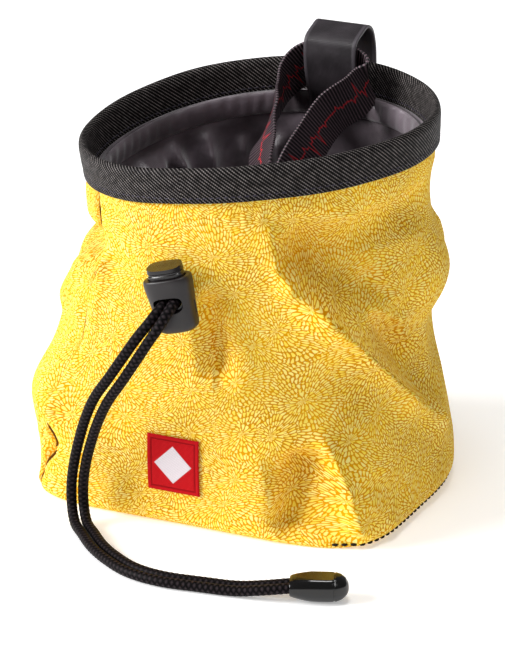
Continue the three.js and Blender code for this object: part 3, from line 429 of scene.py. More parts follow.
def step_drop(angle, share):
    """How far the one-sided creases let the wall drop in."""
    drop = np.zeros_like(angle)
    for places, width, depth in STEP_FOLDS:
        corners = np.array([(np.radians(turn) * BODY_HALF_WIDTH, up * RIM_HEIGHT) for turn, up in places])
        lengths = path_lengths(corners)
        start = corners[0, 0] / BODY_HALF_WIDTH
        turn = np.arctan2(np.sin(angle - start), np.cos(angle - start))
        here = np.stack([turn * BODY_HALF_WIDTH + corners[0, 0], share * RIM_HEIGHT], axis=-1)
        nearest = np.full(angle.shape, 1.0)
        reach = np.ones_like(angle)
        passed = np.zeros_like(angle)
        for first, second, gone in zip(corners, corners[1:], lengths):
            along = second - first
            t = np.clip((here - first) @ along / (along @ along), 0, 1)
            away = np.linalg.norm(here - first - t[..., None] * along, axis=-1)
            on_left = along[0] * (here[..., 1] - first[1]) - along[1] * (here[..., 0] - first[0]) > 0
            closer = away < nearest
            nearest = np.where(closer, away, nearest)
            reach = np.where(closer, np.where(on_left, away / (width * BODY_HALF_WIDTH), 1), reach)
            passed = np.where(closer, (gone + t * np.linalg.norm(along)) / lengths[-1], passed)
        taper = np.clip(np.minimum(passed, 1 - passed) / 0.22, 0, 1)
        taper = taper * taper * (3 - 2 * taper)
        drop += taper * depth * BODY_HALF_WIDTH * np.sin(np.pi * np.clip(reach, 0, 1) ** 0.6)
    return drop * np.clip((0.965 - share) / 0.05, 0, 1) * np.clip(share / 0.05, 0, 1)


def wall(angle, z, inset, extra=0.0):
    """Points of the wall, moved in by inset. extra is a further rise of the cloth."""
    angle = np.asarray(angle, float)
    z = np.asarray(z, float)
    share = np.minimum(z / neck_height(angle), 1)
    side = np.sin(angle)
    front = np.cos(angle)
    reach_side = BODY_HALF_WIDTH * np.where(side < 0, table_value(LEFT, share), table_value(RIGHT, share))
    reach_depth = BODY_HALF_DEPTH * np.where(front > 0, table_value(FRONT, share), table_value(BACK, share))
    power = np.where(front > 0, table_value(FRONT_POWER, share), table_value(BACK_POWER, share))
    body = (np.abs(side / reach_side) ** power + np.abs(front / reach_depth) ** power) ** (-1 / power)
    rim_share = table_value(RIM_SHARE, share)
    drop = np.clip((ridge_height(angle) - z) / TAPE_HEIGHT, 0, 1)
    neck = NECK_RADIUS - NECK_DRAW_IN * drop * (1 - side) / 2
    folds = fold_rise(angle, share, MAIN_FOLDS) + fold_rise(angle, share, FINE_FOLDS)
    folds = folds - step_drop(angle, share)
    radius = body * (1 - rim_share) + neck * rim_share + folds - inset + extra
    centre_x = RIM_SHIFT_SIDE * MOUTH_RADIUS * rim_share + GROUP_OFFSET[0]
    centre_y = RIM_SHIFT_BACK * MOUTH_RADIUS * rim_share + GROUP_OFFSET[1]
    return np.stack([centre_x + radius * side, centre_y - radius * front, z + 0 * angle], axis=1)


def wander(points, size, seed):
    """Soft uneven waves, from -1 to 1, that are the same in each run."""
    shifted = [Vector((p[0] / size + seed, p[1] / size, p[2] / size)) for p in points]
    return np.array([noise.noise(p) for p in shifted])


# %% [markdown]
# ## Finishes
#
# A material here is a short chain of nodes on the piece's own map. This helper keeps the chains
# readable: it adds a node, sets its values and links what it is given.

# %% Node helper
# The Mix node has sockets of one name for each kind of data, so its colour ones go by place
MIX_FIRST_COLOUR = 6
MIX_SECOND_COLOUR = 7
MIX_RESULT_COLOUR = 2


class Finish:
    def __init__(self, name, roughness=0.6, specular=0.5):
        self.material = bpy.data.materials.new(name)
        self.material.use_nodes = True
        self.tree = self.material.node_tree
        self.shader = self.tree.nodes["Principled BSDF"]
        self.shader.inputs["Roughness"].default_value = roughness
        self.shader.inputs["Specular IOR Level"].default_value = specular

    def add(self, kind, **settings):
        node = self.tree.nodes.new("ShaderNode" + kind)
        for key, value in settings.items():
            setattr(node, key, value)
        return node

    def feed(self, socket, value):
        if isinstance(value, bpy.types.NodeSocket):
            self.tree.links.new(value, socket)
        else:
            socket.default_value = value

    def sum(self, operation, *values):
        node = self.add("Math", operation=operation)
        for socket, value in zip(node.inputs, values):
            self.feed(socket, value)
        return node.outputs[0]

    def vector(self, operation, *values):
        node = self.add("VectorMath", operation=operation)
        for socket, value in zip(node.inputs, values):
            self.feed(socket, value)
        return node.outputs["Value"] if operation in ("LENGTH", "DISTANCE") else node.outputs["Vector"]

    def fade(self, value, low, high):
        node = self.add("MapRange", interpolation_type="SMOOTHSTEP")
        self.feed(node.inputs["Value"], value)
        self.feed(node.inputs["From Min"], low)
        self.feed(node.inputs["From Max"], high)
        return node.outputs["Result"]

    def mix(self, factor, first, second):
        node = self.add("Mix", data_type="RGBA")
        self.feed(node.inputs["Factor"], factor)
        self.feed(node.inputs[MIX_FIRST_COLOUR], first)
        self.feed(node.inputs[MIX_SECOND_COLOUR], second)
        return node.outputs[MIX_RESULT_COLOUR]

    def cloth_map(self):
        source = self.add("TexCoord").outputs["UV"]
        parts = self.add("SeparateXYZ")
        self.tree.links.new(source, parts.inputs[0])
        return source, parts.outputs["X"], parts.outputs["Y"]

    def grain(self, source, scale, detail=2.0):
        node = self.add("TexNoise")
        self.feed(node.inputs["Vector"], source)
        node.inputs["Scale"].default_value = scale
        node.inputs["Detail"].default_value = detail
        return node.outputs["Fac"]

    def bump(self, height, distance, strength=1.0):
        node = self.add("Bump")
        node.inputs["Distance"].default_value = distance
        node.inputs["Strength"].default_value = strength
        self.feed(node.inputs["Height"], height)
        self.tree.links.new(node.outputs["Normal"], self.shader.inputs["Normal"])

    def colour(self, value):
        self.feed(self.shader.inputs["Base Color"], value)


def paint(red, green, blue):
    """A colour as an eye sees it, 0 to 255, made linear for the shader."""
    shares = np.array([red, green, blue]) / 255
    linear = np.where(shares <= 0.04045, shares / 12.92, ((shares + 0.055) / 1.055) ** 2.4)
    return (*linear, 1.0)


def waves(finish, along, step):
    """Ribs from 0 to 1 with a given step, in metres, along one coordinate of the map."""
    turn = finish.sum("MULTIPLY", along, 2 * np.pi / (step * MAP_SCALE))
    return finish.sum("MULTIPLY_ADD", finish.sum("SINE", turn), 0.5, 0.5)


# %% [markdown]
# ## The printed cloth
#
# Small pale seeds radiate from scattered middles, on gold. Each middle is a Voronoi cell. Round
# it, broad rings are cut into rays of nearly one width, and each ray holds a file of seeds that
# starts by chance, so that no circle shows. The filler covers the cloth with no picture behind it.

# %% Printed cloth finish
SEED_LENGTH = 2.35 * MM * MAP_SCALE
SEED_WIDTH = 1.15 * MM * MAP_SCALE
SEED_BAND = 1.7 * SEED_LENGTH
BURST_STEP = 19 * MM * MAP_SCALE
SEAM_ROUND = 2 * np.pi * 62 * MM


def printed_cloth():
    finish = Finish("printed_cotton", roughness=0.9, specular=0.06)
    source, across, along = finish.cloth_map()
    warp = finish.add("TexNoise")
    finish.feed(warp.inputs["Vector"], source)
    warp.inputs["Scale"].default_value = 7.0
    offset = finish.vector("SUBTRACT", warp.outputs["Color"], (0.5, 0.5, 0.5))
    drift = finish.vector("MULTIPLY", offset, (0.06, 0.06, 0.0))
    flat = finish.vector("MULTIPLY", finish.vector("ADD", source, drift), (1, 1, 0))
    cells = finish.add("TexVoronoi", voronoi_dimensions="2D", feature="F1")
    finish.feed(cells.inputs["Vector"], flat)
    cells.inputs["Scale"].default_value = 1 / BURST_STEP
    cells.inputs["Randomness"].default_value = 0.9
    arm = finish.vector("SUBTRACT", flat, cells.outputs["Position"])
    reach = finish.vector("LENGTH", arm)
    parts = finish.add("SeparateXYZ")
    finish.feed(parts.inputs[0], arm)
    turn = finish.sum("ARCTAN2", parts.outputs["Y"], parts.outputs["X"])
    band = finish.sum("FLOOR", finish.sum("DIVIDE", reach, SEED_BAND))
    girth = finish.sum("MULTIPLY", finish.sum("ADD", band, 0.8), 2 * np.pi * SEED_BAND)
    rays = finish.sum("ROUND", finish.sum("DIVIDE", girth, SEED_WIDTH))
    whole_turns = finish.sum("MULTIPLY_ADD", turn, 1 / (2 * np.pi), 0.5)
    ray_place = finish.sum("MULTIPLY", whole_turns, rays)
    ray = finish.sum("FLOOR", ray_place)
    sideways = finish.sum("SUBTRACT", finish.sum("FRACT", ray_place), 0.5)
    address = finish.add("CombineXYZ")
    finish.feed(address.inputs["X"], ray)
    finish.feed(address.inputs["Y"], finish.sum("MULTIPLY", band, 7.0))
    spread = finish.vector("MULTIPLY", cells.outputs["Color"], (61, 61, 61))
    chance = finish.add("TexWhiteNoise", noise_dimensions="3D")
    finish.feed(chance.inputs["Vector"], finish.vector("ADD", address.outputs["Vector"], spread))
    file_place = finish.sum("ADD", finish.sum("DIVIDE", reach, SEED_LENGTH), chance.outputs["Value"])
    radial = finish.sum("SUBTRACT", finish.sum("FRACT", file_place), 0.5)
    taper = finish.sum("MULTIPLY_ADD", radial, 0.34, 0.35)
    wide = finish.sum("POWER", finish.sum("ABSOLUTE", finish.sum("DIVIDE", sideways, taper)), 2.2)
    long = finish.sum("POWER", finish.sum("ABSOLUTE", finish.sum("DIVIDE", radial, 0.46)), 3.0)
    seed = finish.fade(finish.sum("ADD", wide, long), 1.1, 0.6)
    single = finish.add("TexWhiteNoise", noise_dimensions="1D")
    finish.feed(single.inputs["W"], finish.sum("MULTIPLY_ADD", ray, 3.7, finish.sum("FLOOR", file_place)))
    uneven = finish.grain(source, 5.0, 3.0)
    gold = finish.mix(finish.fade(uneven, 0.35, 0.7), paint(212, 142, 0), paint(232, 164, 0))
    pale = finish.mix(single.outputs["Value"], paint(255, 226, 84), paint(255, 240, 146))
    print_colour = finish.mix(seed, gold, pale)
    # Over the last 5 mm before the seam the print is darkened to deep orange: painted shade of the seam's
    # fold.
    left_of_seam = finish.sum("SUBTRACT", SEAM_ROUND * MAP_SCALE, across)
    nearness = finish.sum("MINIMUM", across, left_of_seam)
    painted_seam_shade = finish.fade(left_of_seam, 5.0 * MM * MAP_SCALE, 0.4 * MM * MAP_SCALE)
    body = finish.mix(finish.sum("MULTIPLY", painted_seam_shade, 0.55), print_colour, paint(196, 112, 4))
    joint = finish.fade(nearness, 0.8 * MM * MAP_SCALE, 0.35 * MM * MAP_SCALE)
    finish.colour(finish.mix(joint, body, paint(84, 48, 6)))
    twill = waves(finish, finish.sum("ADD", across, along), 0.7 * MM)
    weft = waves(finish, finish.sum("SUBTRACT", across, along), 0.55 * MM)
    finish.bump(finish.sum("ADD", twill, finish.sum("MULTIPLY", weft, 0.5)), 0.06 * MM, 0.5)
    return finish.material


# %% [markdown]
# ## The outer cloth
#
# The real shell is one printed panel, sewn up at the left front and turned in at the base. It is
# laid out as one grid whose two ends meet in that seam, rises from the turned-in lip round the
# base's edge to under the tape, and gets its thickness last.

# %% Outer cloth
SHELL_THICKNESS = 1.2 * MM
SHELL_COLUMNS = 396
LIP_ROWS = 1
EDGE_ROWS = 7
WALL_ROWS = 110
TUCK_ROWS = 2
SHELL_ROWS = LIP_ROWS + EDGE_ROWS + WALL_ROWS + TUCK_ROWS
PUCKER_STEP = 5.2 * MM
SEAM_SHARES = [0.00, 0.04, 0.15, 0.22, 0.30, 0.39, 0.52, 0.66, 0.75, 0.85, 1.00]
SEAM_DEGREES = [-50, -48, -42, -46, -45, -42, -38, -38, -36, -38, -44]
LABEL_PLACE = (-0.015 * BODY_HALF_WIDTH, 0.18 * RIM_HEIGHT)
EYELET_PLACE = (0.026 * BODY_HALF_WIDTH, 0.682 * RIM_HEIGHT)


def calm_round(angle, z, place, reach):
    """From 0 at a place on the front to 1 away from it."""
    front = np.cos(angle) > 0.5
    away = np.hypot(np.tan(angle * front) * 58 * MM - place[0], z - place[1])
    return np.where(front, np.clip(away / reach - 1, 0, 1), 1.0)


def creases(angle, z, inset):
    plain = wall(angle, z, inset)
    share = np.clip(z / neck_height(angle), 0, 1)
    calm = calm_round(angle, z, LABEL_PLACE, 14 * MM) * calm_round(angle, z, EYELET_PLACE, 10 * MM)
    body = np.clip(share / 0.05, 0, 1) * np.clip((1 - share) / 0.03, 0, 1)
    under_tape = np.exp(-(((share - 0.955) / 0.025) ** 2))
    puckers = np.sin(angle * MOUTH_RADIUS / PUCKER_STEP * 2 * np.pi) * 0.22 * MM * under_tape
    small = (wander(plain, 11 * MM, 3.0) * 0.35 + wander(plain, 24 * MM, 9.0) * 0.6) * MM
    return (small * calm + puckers) * body


def seam_angle(share):
    return np.radians(np.interp(share, SEAM_SHARES, SEAM_DEGREES))


def shell_place(column, row):
    step = np.round(row * SHELL_ROWS)
    rise = np.clip((step - LIP_ROWS - EDGE_ROWS) / WALL_ROWS, 0, 1)
    angle = seam_angle(rise) + column * 2 * np.pi
    turn = np.clip((step - LIP_ROWS) / EDGE_ROWS, 0, 1) * np.pi / 2
    edge_z = BASE_EDGE_RADIUS * (1 - np.cos(turn))
    edge_inset = BASE_EDGE_RADIUS * (1 - np.sin(turn))
    wall_z = BASE_EDGE_RADIUS + (neck_height(angle) - BASE_EDGE_RADIUS) * rise
    tuck = np.clip((step - LIP_ROWS - EDGE_ROWS - WALL_ROWS) / TUCK_ROWS, 0, 1)
    tuck_z = (TAPE_HEIGHT - 2 * TAPE_THICKNESS) * tuck
    below = step <= LIP_ROWS + EDGE_ROWS
    z = np.where(below, edge_z, wall_z + tuck_z)
    inset = np.where(below, edge_inset, 0)
    inset = np.where(step == 0, BASE_EDGE_RADIUS + BASE_LIP, inset)
    from_seam = np.minimum(column, 1 - column) * SEAM_ROUND
    pinch = -0.9 * MM * np.exp(-((from_seam / (1.6 * MM)) ** 2)) * (1 - tuck)
    return wall(angle, z, inset, creases(angle, z, inset) + pinch)


def shell_map(column, row):
    height = (row * SHELL_ROWS - LIP_ROWS) / SHELL_ROWS * 1.1 * RIM_HEIGHT
    return column * SEAM_ROUND, height


shell = cloth_grid("printed_shell", SHELL_COLUMNS, SHELL_ROWS, shell_place, shell_map)
thicken(shell, SHELL_THICKNESS, -1.0)
shell.data.materials.append(printed_cloth())
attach(shell, "bag")
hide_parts("outer_shell")
count_faces(shell)

# %% [markdown]
# ## The bottom
#
# The bottom is a flat black disc, sewn inside the shell's turned-in edge. Only its underside
# shows, so a plain weave is enough.

# %% Bottom
PANEL_THICKNESS = 1.4 * MM


def black_weave(name, dark, light, step, roughness):
    finish = Finish(name, roughness=roughness, specular=0.1)
    _, across, along = finish.cloth_map()
    warp = waves(finish, across, step)
    weft = waves(finish, along, step)
    threads = finish.sum("MAXIMUM", warp, weft)
    finish.colour(finish.mix(threads, dark, light))
    finish.bump(threads, 0.08 * MM, 0.6)
    return finish.material


def panel_place(column, row):
    angle = column * 2 * np.pi
    edge = wall(angle, 0 * angle, BASE_EDGE_RADIUS + BASE_LIP + FIT_GAP)
    middle = edge.mean(axis=0)
    return middle + (edge - middle) * (1 - row)[:, None] * [1, 1, 0] + [0, 0, PANEL_THICKNESS]


def panel_map(column, row):
    points = panel_place(column, row)
    return points[:, 0], points[:, 1]


panel = cloth_grid("base_panel", 120, 12, panel_place, panel_map)
thicken(panel, PANEL_THICKNESS - 0.05 * MM, -1.0)
panel.data.materials.append(black_weave("base_cloth", paint(18, 17, 19), paint(44, 42, 46), 0.9 * MM, 0.85))
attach(panel, "bag")
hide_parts("bottom_panel")
count_faces(panel)

# %% [markdown]
# ## The lining
#
# A nylon bag hangs inside the shell. It is thin and too large for its space, so it falls in soft
# folds that catch the light. The grid runs from the middle of the floor up the wall, seen from
# inside, and the folds only ever push it inwards, clear of the shell.

# %% Lining
LINING_INSET = 2.3 * MM
LINING_THICKNESS = 0.6 * MM
LINING_COLUMNS = 260
FLOOR_ROWS = 14
INNER_ROWS = 90
LINING_ROWS = FLOOR_ROWS + INNER_ROWS
LINING_FOLDS = [
    # angle and height of each end, width and rise as shares of BODY_HALF_WIDTH, crispness
    (-134, 0.95, -152, 0.40, 0.12, 0.110, 1),
    (-118, 0.97, -142, 0.52, 0.10, 0.120, 1),
    (-102, 0.95, -126, 0.55, 0.10, 0.105, 1),
    (-86, 0.93, -108, 0.45, 0.12, 0.120, 1),
    (-70, 0.84, -88, 0.50, 0.08, 0.050, 1),
    (-150, 0.86, -162, 0.55, 0.07, 0.050, 1),
    (-164, 0.85, -172, 0.40, 0.10, 0.070, 1),
    (178, 0.80, 172, 0.35, 0.10, 0.055, 1),
    (150, 0.84, 160, 0.40, 0.12, 0.070, 1),
    (126, 0.82, 138, 0.45, 0.12, 0.070, 1),
    (106, 0.80, 116, 0.40, 0.12, 0.055, 1),
    (60, 0.80, 72, 0.30, 0.14, 0.045, 0),
    (20, 0.80, 14, 0.30, 0.14, 0.040, 0),
    (-30, 0.80, -24, 0.30, 0.14, 0.045, 0),
]


def satin_nylon(name):
    finish = Finish(name, roughness=0.32, specular=0.8)
    source, across, along = finish.cloth_map()
    threads = finish.sum("MAXIMUM", waves(finish, across, 0.45 * MM), waves(finish, along, 0.45 * MM))
    # The colour is paler than black nylon, and the cloud's lighter patches are painted sheen of the satin.
    cloud = finish.fade(finish.grain(source, 4.0, 4.0), 0.3, 0.75)
    finish.colour(finish.mix(cloud, paint(58, 46, 52), paint(118, 105, 114)))
    crinkle = finish.sum("MULTIPLY", finish.grain(source, 5.0, 3.0), 9.0)
    finish.bump(finish.sum("ADD", crinkle, finish.sum("MULTIPLY", threads, 0.2)), 0.22 * MM, 0.9)
    finish.shader.inputs["Sheen Weight"].default_value = 0.5
    return finish.material


lining_nylon = satin_nylon("satin_nylon")


def lining_place(column, row):
    angle = -column * 2 * np.pi
    step = np.round(row * LINING_ROWS)
    floor = np.clip(step / FLOOR_ROWS, 0, 1)
    floor_z = LINING_INSET + LINING_THICKNESS
    rise = np.clip((step - FLOOR_ROWS) / INNER_ROWS, 0, 1)
    z = floor_z + (neck_height(angle) + 1.1 * MM - floor_z) * rise
    round_edge = np.clip(1 - (z - floor_z) / (4 * MM), 0, 1)
    share = np.clip(z / neck_height(angle), 0, 1)
    folds = fold_rise(angle, share, LINING_FOLDS)
    plain = wall(angle, z, LINING_INSET)
    ripple = (wander(plain, 9 * MM, 5.0) + 1) * 0.7 * MM * np.clip((1 - share) / 0.06, 0, 1)
    inset = LINING_INSET + LINING_THICKNESS + np.maximum(folds, 0) + ripple + 2.4 * MM * round_edge ** 2
    nearby = [step_drop(angle + turn, share) for turn in (-0.07, 0, 0.07)]
    inset = inset + np.minimum(np.max(nearby, axis=0), 2.4 * MM)
    points = wall(angle, z, inset)
    middle = np.array([GROUP_OFFSET[0], GROUP_OFFSET[1], floor_z])
    swell = wander(points, 16 * MM, 2.0) * 1.2 * MM * np.clip(step / FLOOR_ROWS, 0, 1)
    on_floor = step < FLOOR_ROWS
    flat = middle + (points - middle) * floor[:, None]
    flat[:, 2] = floor_z + np.maximum(swell, 0)
    return np.where(on_floor[:, None], flat, points)


def lining_map(column, row):
    return column * 2 * np.pi * 58 * MM, row * 0.17


lining = cloth_grid("nylon_lining", LINING_COLUMNS, LINING_ROWS, lining_place, lining_map)
thicken(lining, LINING_THICKNESS, -1.0)
lining.data.materials.append(lining_nylon)
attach(lining, "bag")
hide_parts("lining_bag")
count_faces(lining)

# %% [markdown]
# ## The drawcord's channel
#
# Under the tape, the nylon is doubled into a channel for the cord. It is a little puffed, and the
# cord has gathered it, so short gathers run up and down it all the way round.

# %% Drawcord channel
CHANNEL_HEIGHT = 8.2 * MM
CHANNEL_TOP = TAPE_HEIGHT - 1.2 * MM
CHANNEL_OUTER = (1.4 + 0.4 + 1.1 + 0.6) * MM
CHANNEL_DEPTH = 2.2 * MM
CHANNEL_COLUMNS = 300
CHANNEL_ROWS = 14


def channel_place(column, row):
    angle = -column * 2 * np.pi
    turn = row * 2 * np.pi
    gather = np.sin(angle * 61 + 2 * np.sin(angle * 7)) * 0.5 + 0.5
    middle = CHANNEL_OUTER + CHANNEL_DEPTH / 2
    inset = middle + (CHANNEL_DEPTH / 2 - 0.45 * MM * gather) * np.sin(turn)
    drop = CHANNEL_TOP + CHANNEL_HEIGHT / 2 + CHANNEL_HEIGHT / 2 * np.cos(turn)
    return wall(angle, ridge_height(angle) - drop, inset)


def channel_map(column, row):
    return column * 2 * np.pi * 55 * MM, row * 2 * (CHANNEL_HEIGHT + CHANNEL_DEPTH)


channel = cloth_grid("cord_channel", CHANNEL_COLUMNS, CHANNEL_ROWS, channel_place, channel_map)
channel.data.materials.append(lining_nylon)
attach(channel, "bag")
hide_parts("drawcord_channel")
count_faces(channel)

# %% [markdown]
# ## The binding
#
# A black twill tape is folded over the mouth's edge and sewn through. The grid follows the
# folded section once round the mouth. The twill's slanting ribs are in the finish, and the tape's
# soft roll over the edge and the pull of its stitches are in the shape.

# %% Binding
BINDING_COLUMNS = 420
BINDING_SECTION = [
    # distance from the neck's face outwards, and drop below the ridge, in mm
    (-0.35, 12.0), (0.10, 12.0), (0.30, 9.0), (0.34, 5.0), (0.30, 2.2), (-0.15, 0.75), (-1.30, 0.0),
    (-2.45, 0.75), (-2.95, 2.2), (-3.05, 5.0), (-3.00, 9.0), (-2.80, 12.0), (-2.20, 12.0),
]
STITCH_DROP = 9.6
BINDING_ROWS = 40


def binding_section():
    rows = np.array(BINDING_SECTION) * MM
    outward = NECK_RADIUS + FIT_GAP + TAPE_THICKNESS - 0.3 * MM
    section = np.stack([outward + rows[:, 0], rows[:, 1], 0 * rows[:, 0]], axis=1)
    return smooth_path(section, BINDING_ROWS + 1)


def binding_place(column, row):
    section = binding_section()
    index = np.round(row * BINDING_ROWS).astype(int)
    angle = column * 2 * np.pi
    radius = section[index, 0]
    drop = section[index, 1]
    pull = np.exp(-(((drop / MM - STITCH_DROP) / 1.1) ** 2)) * (0.18 + 0.10 * np.sin(angle * 124))
    outside = index < BINDING_ROWS / 2
    radius = radius - np.where(outside, pull, -pull) * MM
    wave = np.sin(angle * 5 + 1) * 0.25 + np.sin(angle * 11 + 2) * 0.15
    return wall(angle, ridge_height(angle) - drop + wave * MM * 0.5, NECK_RADIUS - radius)


def binding_map(column, row):
    lengths = path_lengths(binding_section())
    index = np.round(row * BINDING_ROWS).astype(int)
    return column * 2 * np.pi * MOUTH_RADIUS, lengths[index]


def twill_tape(name):
    finish = Finish(name, roughness=0.6, specular=0.08)
    source, across, along = finish.cloth_map()
    slant = finish.sum("ADD", finish.sum("MULTIPLY", across, 0.64), finish.sum("MULTIPLY", along, 0.77))
    ribs = waves(finish, slant, 1.0 * MM)
    beads = waves(finish, finish.sum("SUBTRACT", across, finish.sum("MULTIPLY", along, 0.35)), 0.8 * MM)
    beaded = finish.sum("MULTIPLY_ADD", beads, 0.8, 0.2)
    threads = finish.sum("MULTIPLY", finish.sum("POWER", ribs, 4.5), beaded)
    fuzz = finish.fade(finish.grain(source, 40.0, 3.0), 0.3, 0.7)
    # The tape is black: the pale grey on the ribs is a painted highlight, flecked by the fuzz.
    light = finish.sum("MULTIPLY", threads, finish.sum("MULTIPLY_ADD", fuzz, 0.8, 0.45))
    finish.colour(finish.mix(light, paint(3, 2, 2), paint(160, 152, 150)))
    finish.bump(threads, 0.2 * MM, 0.9)
    return finish.material


binding_twill = twill_tape("binding_twill")
binding = cloth_grid("twill_binding", BINDING_COLUMNS, BINDING_ROWS, binding_place, binding_map)
thicken(binding, 0.8 * MM, -1.0)
binding.data.materials.append(binding_twill)
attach(binding, "bag")
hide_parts("rim_binding")
count_faces(binding)

# %% [markdown]
# ## The arch at the back
#
# A short length of smooth black ribbon stands over the back of the mouth as a loop. A ribbon is a
# sheet carried along a route, with its width set square to the way it runs, and rounded edges.

# %% Ribbons
RIBBON_COLUMNS = 20


def ribbon(name, path, across, width, thickness, closed, back_material=0):
    """A ribbon along path, with across giving its width's direction at each point."""
    if closed:
        ahead = np.roll(path, -1, axis=0) - np.roll(path, 1, axis=0)
    else:
        ahead = np.gradient(path, axis=0)
    ahead /= np.linalg.norm(ahead, axis=1)[:, None]
    across = across - ahead * np.sum(across * ahead, axis=1)[:, None]
    across /= np.linalg.norm(across, axis=1)[:, None]
    ring = np.vstack([path, path[:1]]) if closed else path
    spread = np.vstack([across, across[:1]]) if closed else across
    lengths = path_lengths(ring)
    rows = len(ring) - 1

    def place(column, row):
        index = np.round(row * rows).astype(int)
        return ring[index] + spread[index] * ((column - 0.5) * width)[:, None]

    def cloth_map(column, row):
        index = np.round(row * rows).astype(int)
        return (column - 0.5) * width, lengths[index]

    piece = cloth_grid(name, RIBBON_COLUMNS, rows, place, cloth_map)
    thicken(piece, thickness, 0.0, back_material)
    soft_edge = piece.modifiers.new("soft_edge", "BEVEL")
    soft_edge.width = thickness * 0.28
    soft_edge.segments = 2
    soft_edge.limit_method = "ANGLE"
    soft_edge.angle_limit = np.radians(60)
    apply_modifiers(piece)
    bpy.ops.object.shade_smooth_by_angle(angle=np.radians(50))
    print(name, "runs", round(lengths[-1] * 1000), "mm")
    return piece


# %% Arch route, as in the solid model
LOOP_SIDE = 0.148 * MOUTH_RADIUS
LOOP_RISE = 13.8 * MM
LOOP_WIDTH = 19.5 * MM
RIBBON_THICKNESS = 1.2 * MM
loop_angle = np.pi - np.arcsin((LOOP_SIDE - RIM_SHIFT_SIDE * MOUTH_RADIUS) / MOUTH_RADIUS)
loop_ridge = ridge_height(loop_angle)
rim_back = (RIM_SHIFT_BACK + 1) * MOUTH_RADIUS
loop_back = rim_back + FIT_GAP + RIBBON_THICKNESS / 2
loop_front = loop_back - 17.2 * MM
channel_face = rim_back - (MOUTH_RADIUS - NECK_RADIUS) - CHANNEL_OUTER - CHANNEL_DEPTH
loop_sag = LOOP_WIDTH ** 2 / 8 / MOUTH_RADIUS
leg_end = channel_face - loop_sag * 3 - 4 * FIT_GAP - RIBBON_THICKNESS / 2
ARCH_ROUTE = [
    # distance back, and height
    (loop_back, loop_ridge - TAPE_HEIGHT),
    (loop_back, loop_ridge - TAPE_HEIGHT * 0.5),
    (loop_back, loop_ridge),
    (loop_back - 0.8 * MM, loop_ridge + LOOP_RISE * 0.45),
    (loop_back - 3.4 * MM, loop_ridge + LOOP_RISE * 0.85),
    (loop_back - 7.2 * MM, loop_ridge + LOOP_RISE),
    (loop_back - 11.6 * MM, loop_ridge + LOOP_RISE * 0.93),
    (loop_front - 0.1 * MM, loop_ridge + LOOP_RISE * 0.74),
    (loop_front - 0.9 * MM, loop_ridge + LOOP_RISE * 0.48),
    (loop_front - 0.3 * MM, loop_ridge),
    (loop_front + 2.2 * MM, loop_ridge - TAPE_HEIGHT * 0.7),
    (leg_end - 0.6 * MM, loop_ridge - TAPE_HEIGHT * 1.15),
    (leg_end, loop_ridge - TAPE_HEIGHT * 1.5),
]


def plain_ribbon(name):
    finish = Finish(name, roughness=0.42, specular=0.3)
    source, across, along = finish.cloth_map()
    fine = finish.sum("MAXIMUM", waves(finish, across, 0.5 * MM), waves(finish, along, 0.42 * MM))
    edge = finish.fade(finish.sum("ABSOLUTE", across), (LOOP_WIDTH / 2 - 1.6 * MM) * MAP_SCALE,
                       (LOOP_WIDTH / 2 - 0.9 * MM) * MAP_SCALE)
    cloud = finish.fade(finish.grain(source, 9.0, 3.0), 0.3, 0.7)
    body = finish.mix(cloud, paint(36, 32, 35), paint(54, 49, 53))
    finish.colour(finish.mix(edge, body, paint(72, 67, 72)))
    finish.bump(finish.sum("ADD", fine, finish.sum("MULTIPLY", edge, 1.5)), 0.07 * MM, 0.7)
    return finish.material


arch_points = [(LOOP_SIDE, back, up) for back, up in ARCH_ROUTE]
arch_path = smooth_path(np.array(arch_points) + GROUP_OFFSET, 150)
arch_across = np.tile([1.0, 0.0, 0.0], (len(arch_path), 1))
arch = ribbon("loop_arch", arch_path, arch_across, LOOP_WIDTH, RIBBON_THICKNESS * 0.9, False)
arch.data.materials.append(plain_ribbon("smooth_ribbon"))
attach(arch, "bag")
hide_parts("belt_loop")
count_faces(arch)

# %% [markdown]
# ## The belt
#
# The belt's ribbon is woven with ribs across it, smooth and plain on its inner face, with a thin
# red line in sharp steps on the outer one. It goes through the arch and hangs down inside the bag
# as two strands that close in a loop near the floor.

# %% Belt route, as in the solid model
BELT_ROUTE = np.array([
    # side and back as shares of MOUTH_RADIUS, up of RIM_HEIGHT, then the way across the ribbon
    (0.110, 0.842, 1.043, 0.00, -0.42, 0.90),
    (0.000, 0.844, 1.033, 0.00, -0.42, 0.90),
    (-0.100, 0.812, 1.000, -0.02, -0.56, 0.83),
    (-0.145, 0.700, 0.940, 0.20, -0.60, 0.77),
    (-0.130, 0.550, 0.900, 0.45, -0.55, 0.70),
    (-0.110, 0.400, 0.845, 0.70, -0.42, 0.57),
    (-0.050, 0.250, 0.770, 0.60, -0.70, 0.38),
    (-0.105, 0.160, 0.620, 0.20, -0.98, 0.10),
    (-0.125, 0.120, 0.420, 0.00, -1.00, 0.00),
    (-0.120, 0.120, 0.220, 0.00, -1.00, 0.00),
    (-0.060, 0.120, 0.075, 0.00, -1.00, 0.00),
    (0.060, 0.120, 0.075, 0.00, -1.00, 0.00),
    (0.120, 0.120, 0.220, 0.00, -1.00, 0.00),
    (0.125, 0.120, 0.420, 0.00, -1.00, 0.00),
    (0.120, 0.180, 0.620, -0.10, -0.95, 0.20),
    (0.090, 0.315, 0.775, -0.22, -0.70, 0.60),
    (0.160, 0.450, 0.865, -0.24, -0.50, 0.83),
    (0.225, 0.600, 0.935, -0.24, -0.50, 0.83),
    (0.335, 0.715, 0.980, -0.16, -0.40, 0.90),
    (0.355, 0.800, 1.012, -0.06, -0.22, 0.97),
    (0.265, 0.840, 1.036, 0.00, -0.36, 0.93),
])
